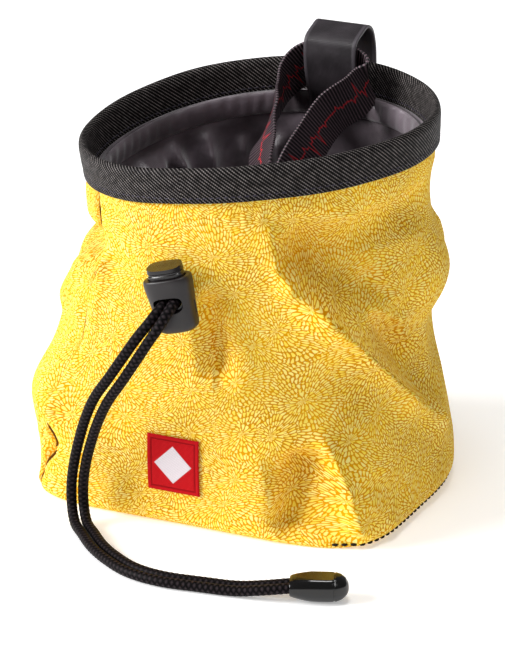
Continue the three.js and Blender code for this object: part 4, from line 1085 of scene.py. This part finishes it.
STRAP_WIDTH = 18 * MM
BELT_STEPS = 420
RIB_STEP = 1.02 * MM
LINE_STEP = 2.3 * MM
LINE_SWING = 7.0 * MM
LINE_SPREAD = 1.5 * MM
LINE_HALF_WIDTH = 0.35 * MM


def ribbed_belt(name, with_line):
    finish = Finish(name, roughness=0.38, specular=0.3)
    _, across, along = finish.cloth_map()
    ribs = waves(finish, along, RIB_STEP)
    fine = waves(finish, across, 0.55 * MM)
    threads = finish.sum("MULTIPLY_ADD", fine, 0.5, 0.5)
    raised = finish.sum("MULTIPLY", finish.sum("POWER", ribs, 2.0), threads)
    if with_line:
        cell_place = finish.sum("DIVIDE", along, LINE_STEP * MAP_SCALE)
        cell = finish.sum("FLOOR", cell_place)
        chance = finish.add("TexWhiteNoise", noise_dimensions="1D")
        finish.feed(chance.inputs["W"], cell)
        tall = finish.sum("POWER", chance.outputs["Value"], 1.5)
        part = finish.sum("ABSOLUTE", finish.sum("SUBTRACT", finish.sum("FRACT", cell_place), 0.5))
        peak = finish.sum("MAXIMUM", finish.sum("SUBTRACT", 1.0, finish.sum("MULTIPLY", part, 3.4)), 0.0)
        odd = finish.sum("FLOORED_MODULO", cell, 2.0)
        sign = finish.sum("SUBTRACT", finish.sum("MULTIPLY", odd, 2.0), 1.0)
        height = finish.sum("MULTIPLY", sign, LINE_SWING * MAP_SCALE)
        swing = finish.sum("MULTIPLY", finish.sum("MULTIPLY", peak, tall), height)
        off = finish.sum("ABSOLUTE", finish.sum("SUBTRACT", across, swing))
        steep = finish.sum("GREATER_THAN", peak, 0.001)
        spread = finish.sum("MULTIPLY", steep, tall)
        half = finish.sum("MULTIPLY_ADD", spread, LINE_SPREAD * MAP_SCALE, LINE_HALF_WIDTH * MAP_SCALE)
        line = finish.fade(finish.sum("DIVIDE", off, half), 1.1, 0.8)
        # The raised ribs are painted paler, on the red line and on the black: a painted highlight of the
        # ribs.
        thread = finish.mix(raised, paint(176, 22, 36), paint(244, 84, 92))
        black = finish.mix(raised, paint(4, 3, 4), paint(124, 104, 112))
        finish.colour(finish.mix(line, black, thread))
    else:
        # On the inner face too, the ribs' paler tops are a painted highlight.
        finish.colour(finish.mix(raised, paint(6, 5, 6), paint(30, 27, 30)))
    finish.bump(raised, 0.2 * MM, 1.0)
    return finish.material


def belt_across(steps):
    rows = len(BELT_ROUTE)
    across = []
    for step in range(steps):
        place = step / steps * rows
        row = int(place) % rows
        part = place - int(place)
        ease = part * part * (3 - 2 * part)
        first, second = BELT_ROUTE[row, 3:6], BELT_ROUTE[(row + 1) % rows, 3:6]
        across.append(first * (1 - ease) + second * ease)
    return np.array(across)


belt_points = BELT_ROUTE[:, 0:3] * [MOUTH_RADIUS, MOUTH_RADIUS, RIM_HEIGHT] + GROUP_OFFSET
belt_path = smooth_path(belt_points, BELT_STEPS, closed=True)
belt = ribbon("ribbed_belt", belt_path, belt_across(BELT_STEPS), STRAP_WIDTH,
              RIBBON_THICKNESS * 0.85, closed=True, back_material=1)
belt.data.materials.append(ribbed_belt("belt_outer_face", True))
belt.data.materials.append(ribbed_belt("belt_inner_face", False))
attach(belt, "bag")
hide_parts("belt_strap")
count_faces(belt)

# %% [markdown]
# ## Stitches
#
# One stitch is a short capsule, and a row is that stitch copied along a line on the cloth. The
# tape has a row near its lower edge, outside and inside, and the base's seam shows one on the right.

# %% Rows of stitches
STITCH_PITCH = 1.4
TAPE_STITCH_DROP = 10.1 * MM
TAPE_STITCH_LENGTH = 1.7 * MM
TAPE_STITCH_THICKNESS = 0.55 * MM
BASE_STITCH_HEIGHT = 1.6 * MM
BASE_STITCH_LENGTH = 2.2 * MM
BASE_STITCH_THICKNESS = 1.1 * MM


def stitch_row(name, places, length, thickness, colour):
    """Stitches laid end to end, with gaps, through places along a line."""
    lengths = path_lengths(places)
    pitch = length * STITCH_PITCH
    count = int(lengths[-1] // pitch)
    bpy.ops.object.select_all(action="DESELECT")
    bpy.ops.mesh.primitive_uv_sphere_add(segments=8, ring_count=6, radius=1)
    row = bpy.context.object
    row.name = name
    unit = np.zeros(len(row.data.vertices) * 3)
    row.data.vertices.foreach_get("co", unit)
    unit = unit.reshape(-1, 3) * [thickness / 2, thickness / 2, length / 2]
    faces = [tuple(face.vertices) for face in row.data.polygons]
    points, all_faces = [], []
    for index in range(count):
        middle = (index + 0.5) * pitch
        ends = [np.array([np.interp(middle + half, lengths, places[:, axis]) for axis in range(3)])
                for half in (-length / 2, length / 2)]
        turn = Vector(ends[1] - ends[0]).to_track_quat("Z", "Y").to_matrix()
        base = index * len(unit)
        points.append(unit @ np.array(turn).T + (ends[0] + ends[1]) / 2)
        all_faces += [tuple(base + corner for corner in face) for face in faces]
    thread = bpy.data.meshes.new(name)
    thread.from_pydata(np.concatenate(points).tolist(), [], all_faces)
    row.data = thread
    pick_only(row)
    bpy.ops.object.shade_smooth()
    finish = Finish(name + "_thread", roughness=0.6, specular=0.2)
    finish.colour(colour)
    row.data.materials.append(finish.material)
    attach(row, "bag")
    print(name, count, "stitches")
    return row


round_mouth = np.linspace(0, 2 * np.pi, 1200)
stitch_z = ridge_height(round_mouth) - TAPE_STITCH_DROP
outer_line = wall(round_mouth, stitch_z, -(FIT_GAP + TAPE_THICKNESS) + 0.25 * MM)
inner_line = wall(round_mouth, stitch_z, 1.95 * MM)
tape_stitches = stitch_row("tape_stitches", outer_line, TAPE_STITCH_LENGTH,
                           TAPE_STITCH_THICKNESS, paint(58, 54, 66))
inner_stitches = stitch_row("inner_tape_stitches", inner_line, TAPE_STITCH_LENGTH,
                            TAPE_STITCH_THICKNESS, paint(50, 46, 56))
right_foot = np.linspace(np.radians(46), np.radians(150), 400)
base_line = wall(right_foot, 0 * right_foot + BASE_STITCH_HEIGHT, 1.1 * MM)
base_stitches = stitch_row("base_stitches", base_line, BASE_STITCH_LENGTH,
                           BASE_STITCH_THICKNESS, paint(22, 17, 12))

# %% [markdown]
# ## The woven label
#
# A red label is sewn to the front near the ground. It follows the cloth, with a folded edge, a row
# of stitches in its own red and a plain pale diamond woven in its middle.

# %% Label
LABEL_WIDTH = 18.8 * MM
LABEL_HEIGHT = 20 * MM
LABEL_CELLS = 48
LABEL_STITCH_INSET = 1.5 * MM
MOTIF_REACH = 6.9 * MM


def front_angle(x, z):
    depth = wall(0 * z, z, 0.0)[:, 1] - GROUP_OFFSET[1]
    return np.arctan2(x, -depth)


def label_place(column, row):
    x = LABEL_PLACE[0] + (column - 0.5) * LABEL_WIDTH
    z = LABEL_PLACE[1] + (row - 0.5) * LABEL_HEIGHT
    angle = front_angle(x, z)
    edge = np.minimum(np.minimum(column, 1 - column) * LABEL_WIDTH, np.minimum(row, 1 - row) * LABEL_HEIGHT)
    sewn_down = np.exp(-(((edge - LABEL_STITCH_INSET) / (0.4 * MM)) ** 2))
    fold = 0.25 * MM * np.clip(edge / (0.6 * MM), 0, 1) - 0.22 * MM * sewn_down
    return wall(angle, z, 0.0, creases(angle, z, 0.0) + 0.75 * MM + fold)


def label_map(column, row):
    return (column - 0.5) * LABEL_WIDTH, (row - 0.5) * LABEL_HEIGHT


def woven_label():
    finish = Finish("woven_label", roughness=0.8, specular=0.08)
    _, across, along = finish.cloth_map()
    threads = finish.sum("MULTIPLY", waves(finish, along, 0.42 * MM), waves(finish, across, 0.42 * MM))
    red = finish.mix(threads, paint(178, 10, 20), paint(232, 40, 46))
    wide = finish.sum("ABSOLUTE", across)
    high = finish.sum("ABSOLUTE", along)
    corner = finish.sum("ADD", wide, high)
    motif = finish.fade(corner, MOTIF_REACH * MAP_SCALE, (MOTIF_REACH - 0.4 * MM) * MAP_SCALE)
    slanting = waves(finish, finish.sum("ADD", across, along), 0.6 * MM)
    pale = finish.mix(slanting, paint(200, 186, 196), paint(252, 246, 250))
    sewn = finish.mix(motif, red, pale)
    side = finish.sum("SUBTRACT", LABEL_WIDTH / 2 * MAP_SCALE, wide)
    top = finish.sum("SUBTRACT", LABEL_HEIGHT / 2 * MAP_SCALE, high)
    edge = finish.sum("MINIMUM", side, top)
    off_row = finish.sum("ABSOLUTE", finish.sum("SUBTRACT", edge, LABEL_STITCH_INSET * MAP_SCALE))
    row = finish.fade(off_row, 0.35 * MM * MAP_SCALE, 0.2 * MM * MAP_SCALE)
    finish.colour(finish.mix(finish.sum("MULTIPLY", row, 0.6), sewn, paint(112, 4, 10)))
    finish.bump(finish.sum("ADD", threads, finish.sum("MULTIPLY", motif, 1.5)), 0.12 * MM, 0.8)
    return finish.material


label = cloth_grid("sewn_label", LABEL_CELLS, LABEL_CELLS, label_place, label_map)
thicken(label, 0.6 * MM, -1.0)
label.data.materials.append(woven_label())
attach(label, "bag")
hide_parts("front_label")
count_faces(label)

# %% [markdown]
# ## Hard pieces
#
# The moulded pieces are stacks of ovals, skinned from end to end, and their holes are cut with
# Boolean modifiers as a mould's pins would form them. A narrow bevel then catches the light.

# %% Stacks of ovals
def oval(width, depth, height, power, sides):
    turn = np.arange(sides) / sides * 2 * np.pi
    x = np.sign(np.cos(turn)) * np.abs(np.cos(turn)) ** (2 / power) * width / 2
    y = np.sign(np.sin(turn)) * np.abs(np.sin(turn)) ** (2 / power) * depth / 2
    return np.stack([x, y, height + 0 * turn], axis=1)


def stack_form(name, rings):
    """A closed solid through rings of points, with its two ends drawn to their middles."""
    rings = np.array(rings)
    ends = [np.repeat(ring.mean(axis=0)[None], len(ring), axis=0) for ring in (rings[0], rings[-1])]
    rings = np.concatenate([ends[:1], rings, ends[1:]])
    rows, sides = len(rings) - 1, rings.shape[1]

    def place(column, row):
        return rings[np.round(row * rows).astype(int), np.round(column * sides).astype(int) % sides]

    def cloth_map(column, row):
        return column * 30 * MM, row * 20 * MM

    piece = cloth_grid(name, sides, rows, place, cloth_map)
    pick_only(piece)
    bpy.ops.object.mode_set(mode="EDIT")
    bpy.ops.mesh.select_all(action="SELECT")
    bpy.ops.mesh.normals_make_consistent(inside=False)
    bpy.ops.object.mode_set(mode="OBJECT")
    return piece


def combine(piece, tool, operation):
    joint = piece.modifiers.new("joint", "BOOLEAN")
    joint.operation = operation
    joint.object = tool
    apply_modifiers(piece)
    bpy.data.objects.remove(tool)


def soften(piece, width, angle=38):
    soft_edge = piece.modifiers.new("soft_edge", "BEVEL")
    soft_edge.width = width
    soft_edge.segments = 2
    soft_edge.limit_method = "ANGLE"
    soft_edge.angle_limit = np.radians(angle)
    apply_modifiers(piece)
    bpy.ops.object.shade_smooth_by_angle(angle=np.radians(40))


def moulded(name, colour, roughness, grain_height):
    finish = Finish(name, roughness=roughness, specular=0.5)
    finish.colour(colour)
    source = finish.add("TexCoord").outputs["Object"]
    grain = finish.add("TexNoise")
    finish.feed(grain.inputs["Vector"], source)
    grain.inputs["Scale"].default_value = 1600.0
    finish.bump(grain.outputs["Fac"], grain_height, 0.6)
    return finish.material


# %% Eyelet
EYELET_SIDES = 72
EYELET_ROWS = 40
eyelet_z = EYELET_PLACE[1]
eyelet_x = EYELET_PLACE[0] + GROUP_OFFSET[0]
EYELET_FRONT = -59.28 * MM
EYELET_PROFILE = [
    # radius, and distance behind the front face, in mm
    (4.35, 2.9), (4.25, 0.9), (4.45, 0.3), (4.95, 0.0), (5.55, 0.1), (6.1, 0.45), (6.42, 0.95), (6.45, 1.25),
    (5.2, 1.3), (5.1, 2.95),
]
profile = np.array(EYELET_PROFILE) * MM
smooth_profile = smooth_path(np.column_stack([profile, 0 * profile[:, 0]]), EYELET_ROWS + 1)


def eyelet_place(column, row):
    index = np.round(row * EYELET_ROWS).astype(int)
    turn = column * 2 * np.pi
    radius, back = smooth_profile[index, 0], smooth_profile[index, 1]
    x = eyelet_x + radius * np.sin(turn)
    z = eyelet_z + radius * np.cos(turn)
    return np.stack([x, EYELET_FRONT + back, z], axis=1)


def eyelet_map(column, row):
    return column * 40 * MM, row * 10 * MM


eyelet = cloth_grid("eyelet_ring", EYELET_SIDES, EYELET_ROWS, eyelet_place, eyelet_map)
eyelet.data.materials.append(moulded("eyelet_black", paint(9, 8, 9), 0.18, 0.004 * MM))
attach(eyelet, "bag")
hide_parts("front_eyelet")
count_faces(eyelet)

# %% [markdown]
# ### Cord lock
#
# The barrel is hollow for its plunger, and both have a window for the cords. The plunger rides on
# the button body, so it slides by itself. It is drawn about the hole's middle and then turned to
# where the solid lock stands.

# %% Cord lock
LOCK_WIDTH = 16.4 * MM
LOCK_DEPTH = 11 * MM
LOCK_HEIGHT = 18.5 * MM
LOCK_TOP = 7 * MM
LOCK_POWER = 2.6
HOLE_SLOPE = np.radians(16)
LOCK_SIDES = 96
LOCK_TURN = np.radians(6)
LOCK_LEAN = np.radians(14)
# The middle of the cord hole, as in the solid model
LOCK_PLACE = Vector(np.array([2.816, -65.953, 85.771]) * MM + GROUP_OFFSET)
lock_turned = Matrix.Rotation(LOCK_TURN, 4, "Z") @ Matrix.Rotation(-LOCK_LEAN, 4, "Y")
LOCK_MATRIX = Matrix.Translation(LOCK_PLACE) @ lock_turned
BARREL_SECTIONS = np.array([
    # drop from the top, width and depth, as shares
    (1.00, 0.50, 0.50), (0.985, 0.66, 0.66), (0.95, 0.77, 0.80), (0.90, 0.83, 0.88), (0.72, 0.85, 0.95),
    (0.45, 0.90, 1.00), (0.18, 0.98, 1.00), (0.09, 1.00, 1.00), (0.02, 0.985, 0.985), (0.00, 0.955, 0.945),
])


def oval_block(name, width, depth, low, high, power=LOCK_POWER, sides=64):
    return stack_form(name, [oval(width, depth, low, power, sides), oval(width, depth, high, power, sides)])


def sloped_hole(name, width, height, lift):
    tool = oval_block(name, width, height, -LOCK_DEPTH, LOCK_DEPTH, 3.0)
    tool.data.transform(Matrix.Translation((0, 0, lift)) @ Matrix.Rotation(np.pi / 2 + HOLE_SLOPE, 4, "X"))
    return tool


sections = smooth_path(BARREL_SECTIONS, 34)
barrel = stack_form("cord_lock_barrel", [
    oval(LOCK_WIDTH * wide, LOCK_DEPTH * deep, LOCK_TOP - LOCK_HEIGHT * drop, LOCK_POWER, LOCK_SIDES)
    for drop, wide, deep in sections])
combine(barrel, oval_block("head_pocket", 13.0 * MM, 8.0 * MM, 2.1 * MM, 9 * MM), "DIFFERENCE")
combine(barrel, oval_block("stem_pocket", 11.9 * MM, 7.0 * MM, -8.72 * MM, 7 * MM, 3.0), "DIFFERENCE")
combine(barrel, sloped_hole("cord_hole", 10.1 * MM, 5.4 * MM, 0), "DIFFERENCE")
fin_slot = oval_block("fin_slot", 2.4 * MM, 1.5 * MM, -6.4 * MM, -1.9 * MM, 4.0, 24)
fin_slot.data.transform(Matrix.Translation((7.9 * MM, 0.6 * MM, 0)))
combine(barrel, fin_slot, "DIFFERENCE")
soften(barrel, 0.28 * MM)
barrel.data.transform(LOCK_MATRIX)

FACET_LIFT = 11.0 * MM
FACET_SLANT = np.radians(12)
HEAD_SECTIONS = [
    # height, width and depth, in mm
    (5.4, 12.4, 7.4), (8.1, 12.4, 7.4), (8.4, 11.9, 6.9), (8.8, 11.9, 6.9), (9.1, 12.4, 7.4),
    (11.6, 12.0, 7.0),
]
button = stack_form("cord_lock_button", [
    oval(wide * MM, deep * MM, high * MM, LOCK_POWER, LOCK_SIDES) for high, wide, deep in HEAD_SECTIONS])
slant = oval_block("slant", 30 * MM, 30 * MM, 0, 20 * MM, 8.0, 24)
slant.data.transform(Matrix.Translation((0, 0, FACET_LIFT)) @ Matrix.Rotation(FACET_SLANT, 4, "X"))
combine(button, slant, "DIFFERENCE")
combine(button, oval_block("stem", 11.3 * MM, 6.4 * MM, -5.42 * MM, 6.4 * MM, 3.0), "UNION")
WINDOW_LIFT = 1.56 * MM
combine(button, sloped_hole("window", 8.9 * MM, 7.8 * MM, WINDOW_LIFT), "DIFFERENCE")
soften(button, 0.3 * MM)
button.data.transform(LOCK_MATRIX)
lock_plastic = moulded("lock_black", paint(31, 26, 27), 0.42, 0.010 * MM)
button_plastic = moulded("button_black", paint(24, 20, 20), 0.22, 0.004 * MM)
lock_pieces = (
    (barrel, "lock_barrel", "bag", lock_plastic),
    (button, "lock_button", "button", button_plastic),
)
for piece, node, body, finish in lock_pieces:
    piece.data.materials.clear()
    piece.data.materials.append(finish)
    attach(piece, body)
    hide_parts(node)
    count_faces(piece)

# %% [markdown]
# ### Toggle
#
# The toggle is moulded in glossy black over the two cord ends: a long round-backed form with a
# flat facet on its upper side, a thin ring near its tip and a socket for the cords.

# %% Toggle
TOGGLE_LENGTH = 19 * MM
TOGGLE_WIDTH = 10.6 * MM
TOGGLE_HEIGHT = 9.4 * MM
SOCKET_WIDTH = 8.5 * MM
SOCKET_HEIGHT = 4.2 * MM
SOCKET_DEPTH = 8.55 * MM
# The toggle points the way that the cords run into it
cord_end_way = np.subtract(CORD_ROUTE[-1][0:2], CORD_ROUTE[-2][0:2])
TOGGLE_TURN = np.arctan2(cord_end_way[1], cord_end_way[0])
TOGGLE_PLACE = Vector(np.array([57.2, -92.5, 4.7]) * MM + GROUP_OFFSET)
TOGGLE_MATRIX = Matrix.Translation(TOGGLE_PLACE) @ Matrix.Rotation(TOGGLE_TURN, 4, "Z")
TOGGLE_SECTIONS = np.array([
    # along, width, under and over, as shares
    (0.00, 0.84, 0.60, 0.60), (0.04, 0.88, 0.68, 0.68), (0.12, 0.93, 0.78, 0.78), (0.34, 1.00, 0.97, 0.94),
    (0.62, 1.00, 1.00, 0.96), (0.735, 0.97, 0.975, 0.95), (0.748, 0.93, 0.935, 0.91),
    (0.762, 0.93, 0.935, 0.91), (0.775, 0.955, 0.96, 0.935), (0.86, 0.83, 0.85, 0.85),
    (0.94, 0.60, 0.62, 0.62), (0.985, 0.34, 0.34, 0.34),
    (1.00, 0.12, 0.12, 0.12),
])
FACET_HEIGHT = 3.75 * MM


def toggle_ring(along, width, under, over, power, sides=72):
    turn = np.arange(sides) / sides * 2 * np.pi
    y = np.sign(np.cos(turn)) * np.abs(np.cos(turn)) ** (2 / power) * width / 2
    reach = np.where(np.sin(turn) > 0, over, under) / 2
    z = np.sign(np.sin(turn)) * np.abs(np.sin(turn)) ** (2 / power) * reach
    if along < 0.745 * TOGGLE_LENGTH:
        z = np.minimum(z, FACET_HEIGHT)
    return np.stack([along + 0 * turn, y, z], axis=1)


toggle_rows = smooth_path(TOGGLE_SECTIONS[:, 0:3], 60)
toggle_over = np.interp(toggle_rows[:, 0], TOGGLE_SECTIONS[:, 0], TOGGLE_SECTIONS[:, 3])
toggle = stack_form("drawcord_toggle", [
    toggle_ring(along * TOGGLE_LENGTH, wide * TOGGLE_WIDTH, under * TOGGLE_HEIGHT, over * TOGGLE_HEIGHT, 2.4)
    for (along, wide, under), over in zip(toggle_rows, toggle_over)])
socket = stack_form("socket", [
    toggle_ring(along, SOCKET_WIDTH, SOCKET_HEIGHT, SOCKET_HEIGHT, 3.2, 48)
    for along in (-1 * MM, SOCKET_DEPTH)])
combine(toggle, socket, "DIFFERENCE")
soften(toggle, 0.15 * MM)
toggle.data.transform(TOGGLE_MATRIX)
toggle.data.materials.clear()
toggle.data.materials.append(moulded("toggle_black", paint(10, 9, 9), 0.14, 0.003 * MM))
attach(toggle, "bag")
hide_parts("cord_toggle")
count_faces(toggle)

# %% [markdown]
# ## Cord, in its place
#
# The strands ride on the bag, and here they get their finish.

# %% Cord finish
def braided_cord(name):
    finish = Finish(name, roughness=0.5, specular=0.06)
    source, across, along = finish.cloth_map()
    round_turns = finish.sum("MULTIPLY", across, BRAID_ROUND / (2 * CORD_DIAMETER * MAP_SCALE))
    length_turns = finish.sum("MULTIPLY", along, np.pi / (BRAID_STEP * MAP_SCALE))
    right = finish.sum("SINE", finish.sum("ADD", round_turns, length_turns))
    left = finish.sum("SINE", finish.sum("SUBTRACT", round_turns, length_turns))
    diamonds = finish.sum("ABSOLUTE", finish.sum("MULTIPLY", right, left))
    fibres = finish.grain(source, 220.0, 2.0)
    fuzz = finish.sum("MULTIPLY_ADD", fibres, 1.4, 0.1)
    # The cord is black: the diamonds' paler tops are a painted highlight.
    light = finish.sum("MULTIPLY", finish.sum("POWER", diamonds, 1.6), fuzz)
    finish.colour(finish.mix(light, paint(2, 1, 2), paint(56, 48, 51)))
    finish.bump(light, 0.10 * MM, 0.8)
    return finish.material


cord_braid = braided_cord("cord_braid")
for strand, node in ((strand_outer, "drawcord_outer"), (strand_inner, "drawcord_inner")):
    strand.data.materials.append(cord_braid)
    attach(strand, "bag")
    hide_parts(node)
    count_faces(strand)

# %% [markdown]
# ## Floor and light
#
# A pale floor that runs out of sight. A broad soft light from the upper left in front shapes the
# folds and an even surround opens the shadows. Three panels, at the left, at the right and above,
# are there to be mirrored in the black plastic and the satin.

# %% Floor, lights and surround
bpy.ops.mesh.primitive_plane_add(size=12, location=(0, 0, -0.05 * MM))
floor = bpy.context.object
floor.name = "studio_floor"
floor_finish = Finish("pale_floor", roughness=0.9, specular=0.1)
floor_finish.colour(paint(250, 250, 250))
floor_finish.shader.inputs["Emission Color"].default_value = (1, 1, 1, 1)
floor_finish.shader.inputs["Emission Strength"].default_value = 0.36
floor.data.materials.append(floor_finish.material)


def aim_at(light, place, aim=(0, 0, 0.06)):
    way = Vector(place) - Vector(aim)
    light.rotation_euler = way.to_track_quat("Z", "Y").to_euler()


def soft_panel(name, place, size, power):
    bpy.ops.object.light_add(type="AREA", location=place)
    panel_light = bpy.context.object
    panel_light.name = name
    panel_light.data.size = size
    panel_light.data.energy = power
    aim_at(panel_light, place)


KEY_PLACE = (-0.95, -0.62, 0.62)
bpy.ops.object.light_add(type="SUN", location=KEY_PLACE)
key_light = bpy.context.object
key_light.name = "key_light"
key_light.data.energy = 3.8
key_light.data.angle = np.radians(32)
aim_at(key_light, KEY_PLACE)
soft_panel("left_panel", (-0.9, -0.5, 0.6), 0.5, 1.2)
soft_panel("right_panel", (0.9, -0.6, 0.9), 0.5, 0.8)
soft_panel("top_panel", (0.05, -0.1, 1.2), 0.35, 5.0)
surround = bpy.data.worlds.new("bright_surround")
surround.use_nodes = True
surround.node_tree.nodes["Background"].inputs["Color"].default_value = (1, 1, 1, 1)
surround.node_tree.nodes["Background"].inputs["Strength"].default_value = 0.18
bpy.context.scene.world = surround
bpy.context.scene.view_settings.view_transform = "Standard"

# %% A helper that gives a box as plain numbers, then the end
def plain(box):
    return [[float(value) for value in corner] for corner in box]


bpy.context.view_layer.update()
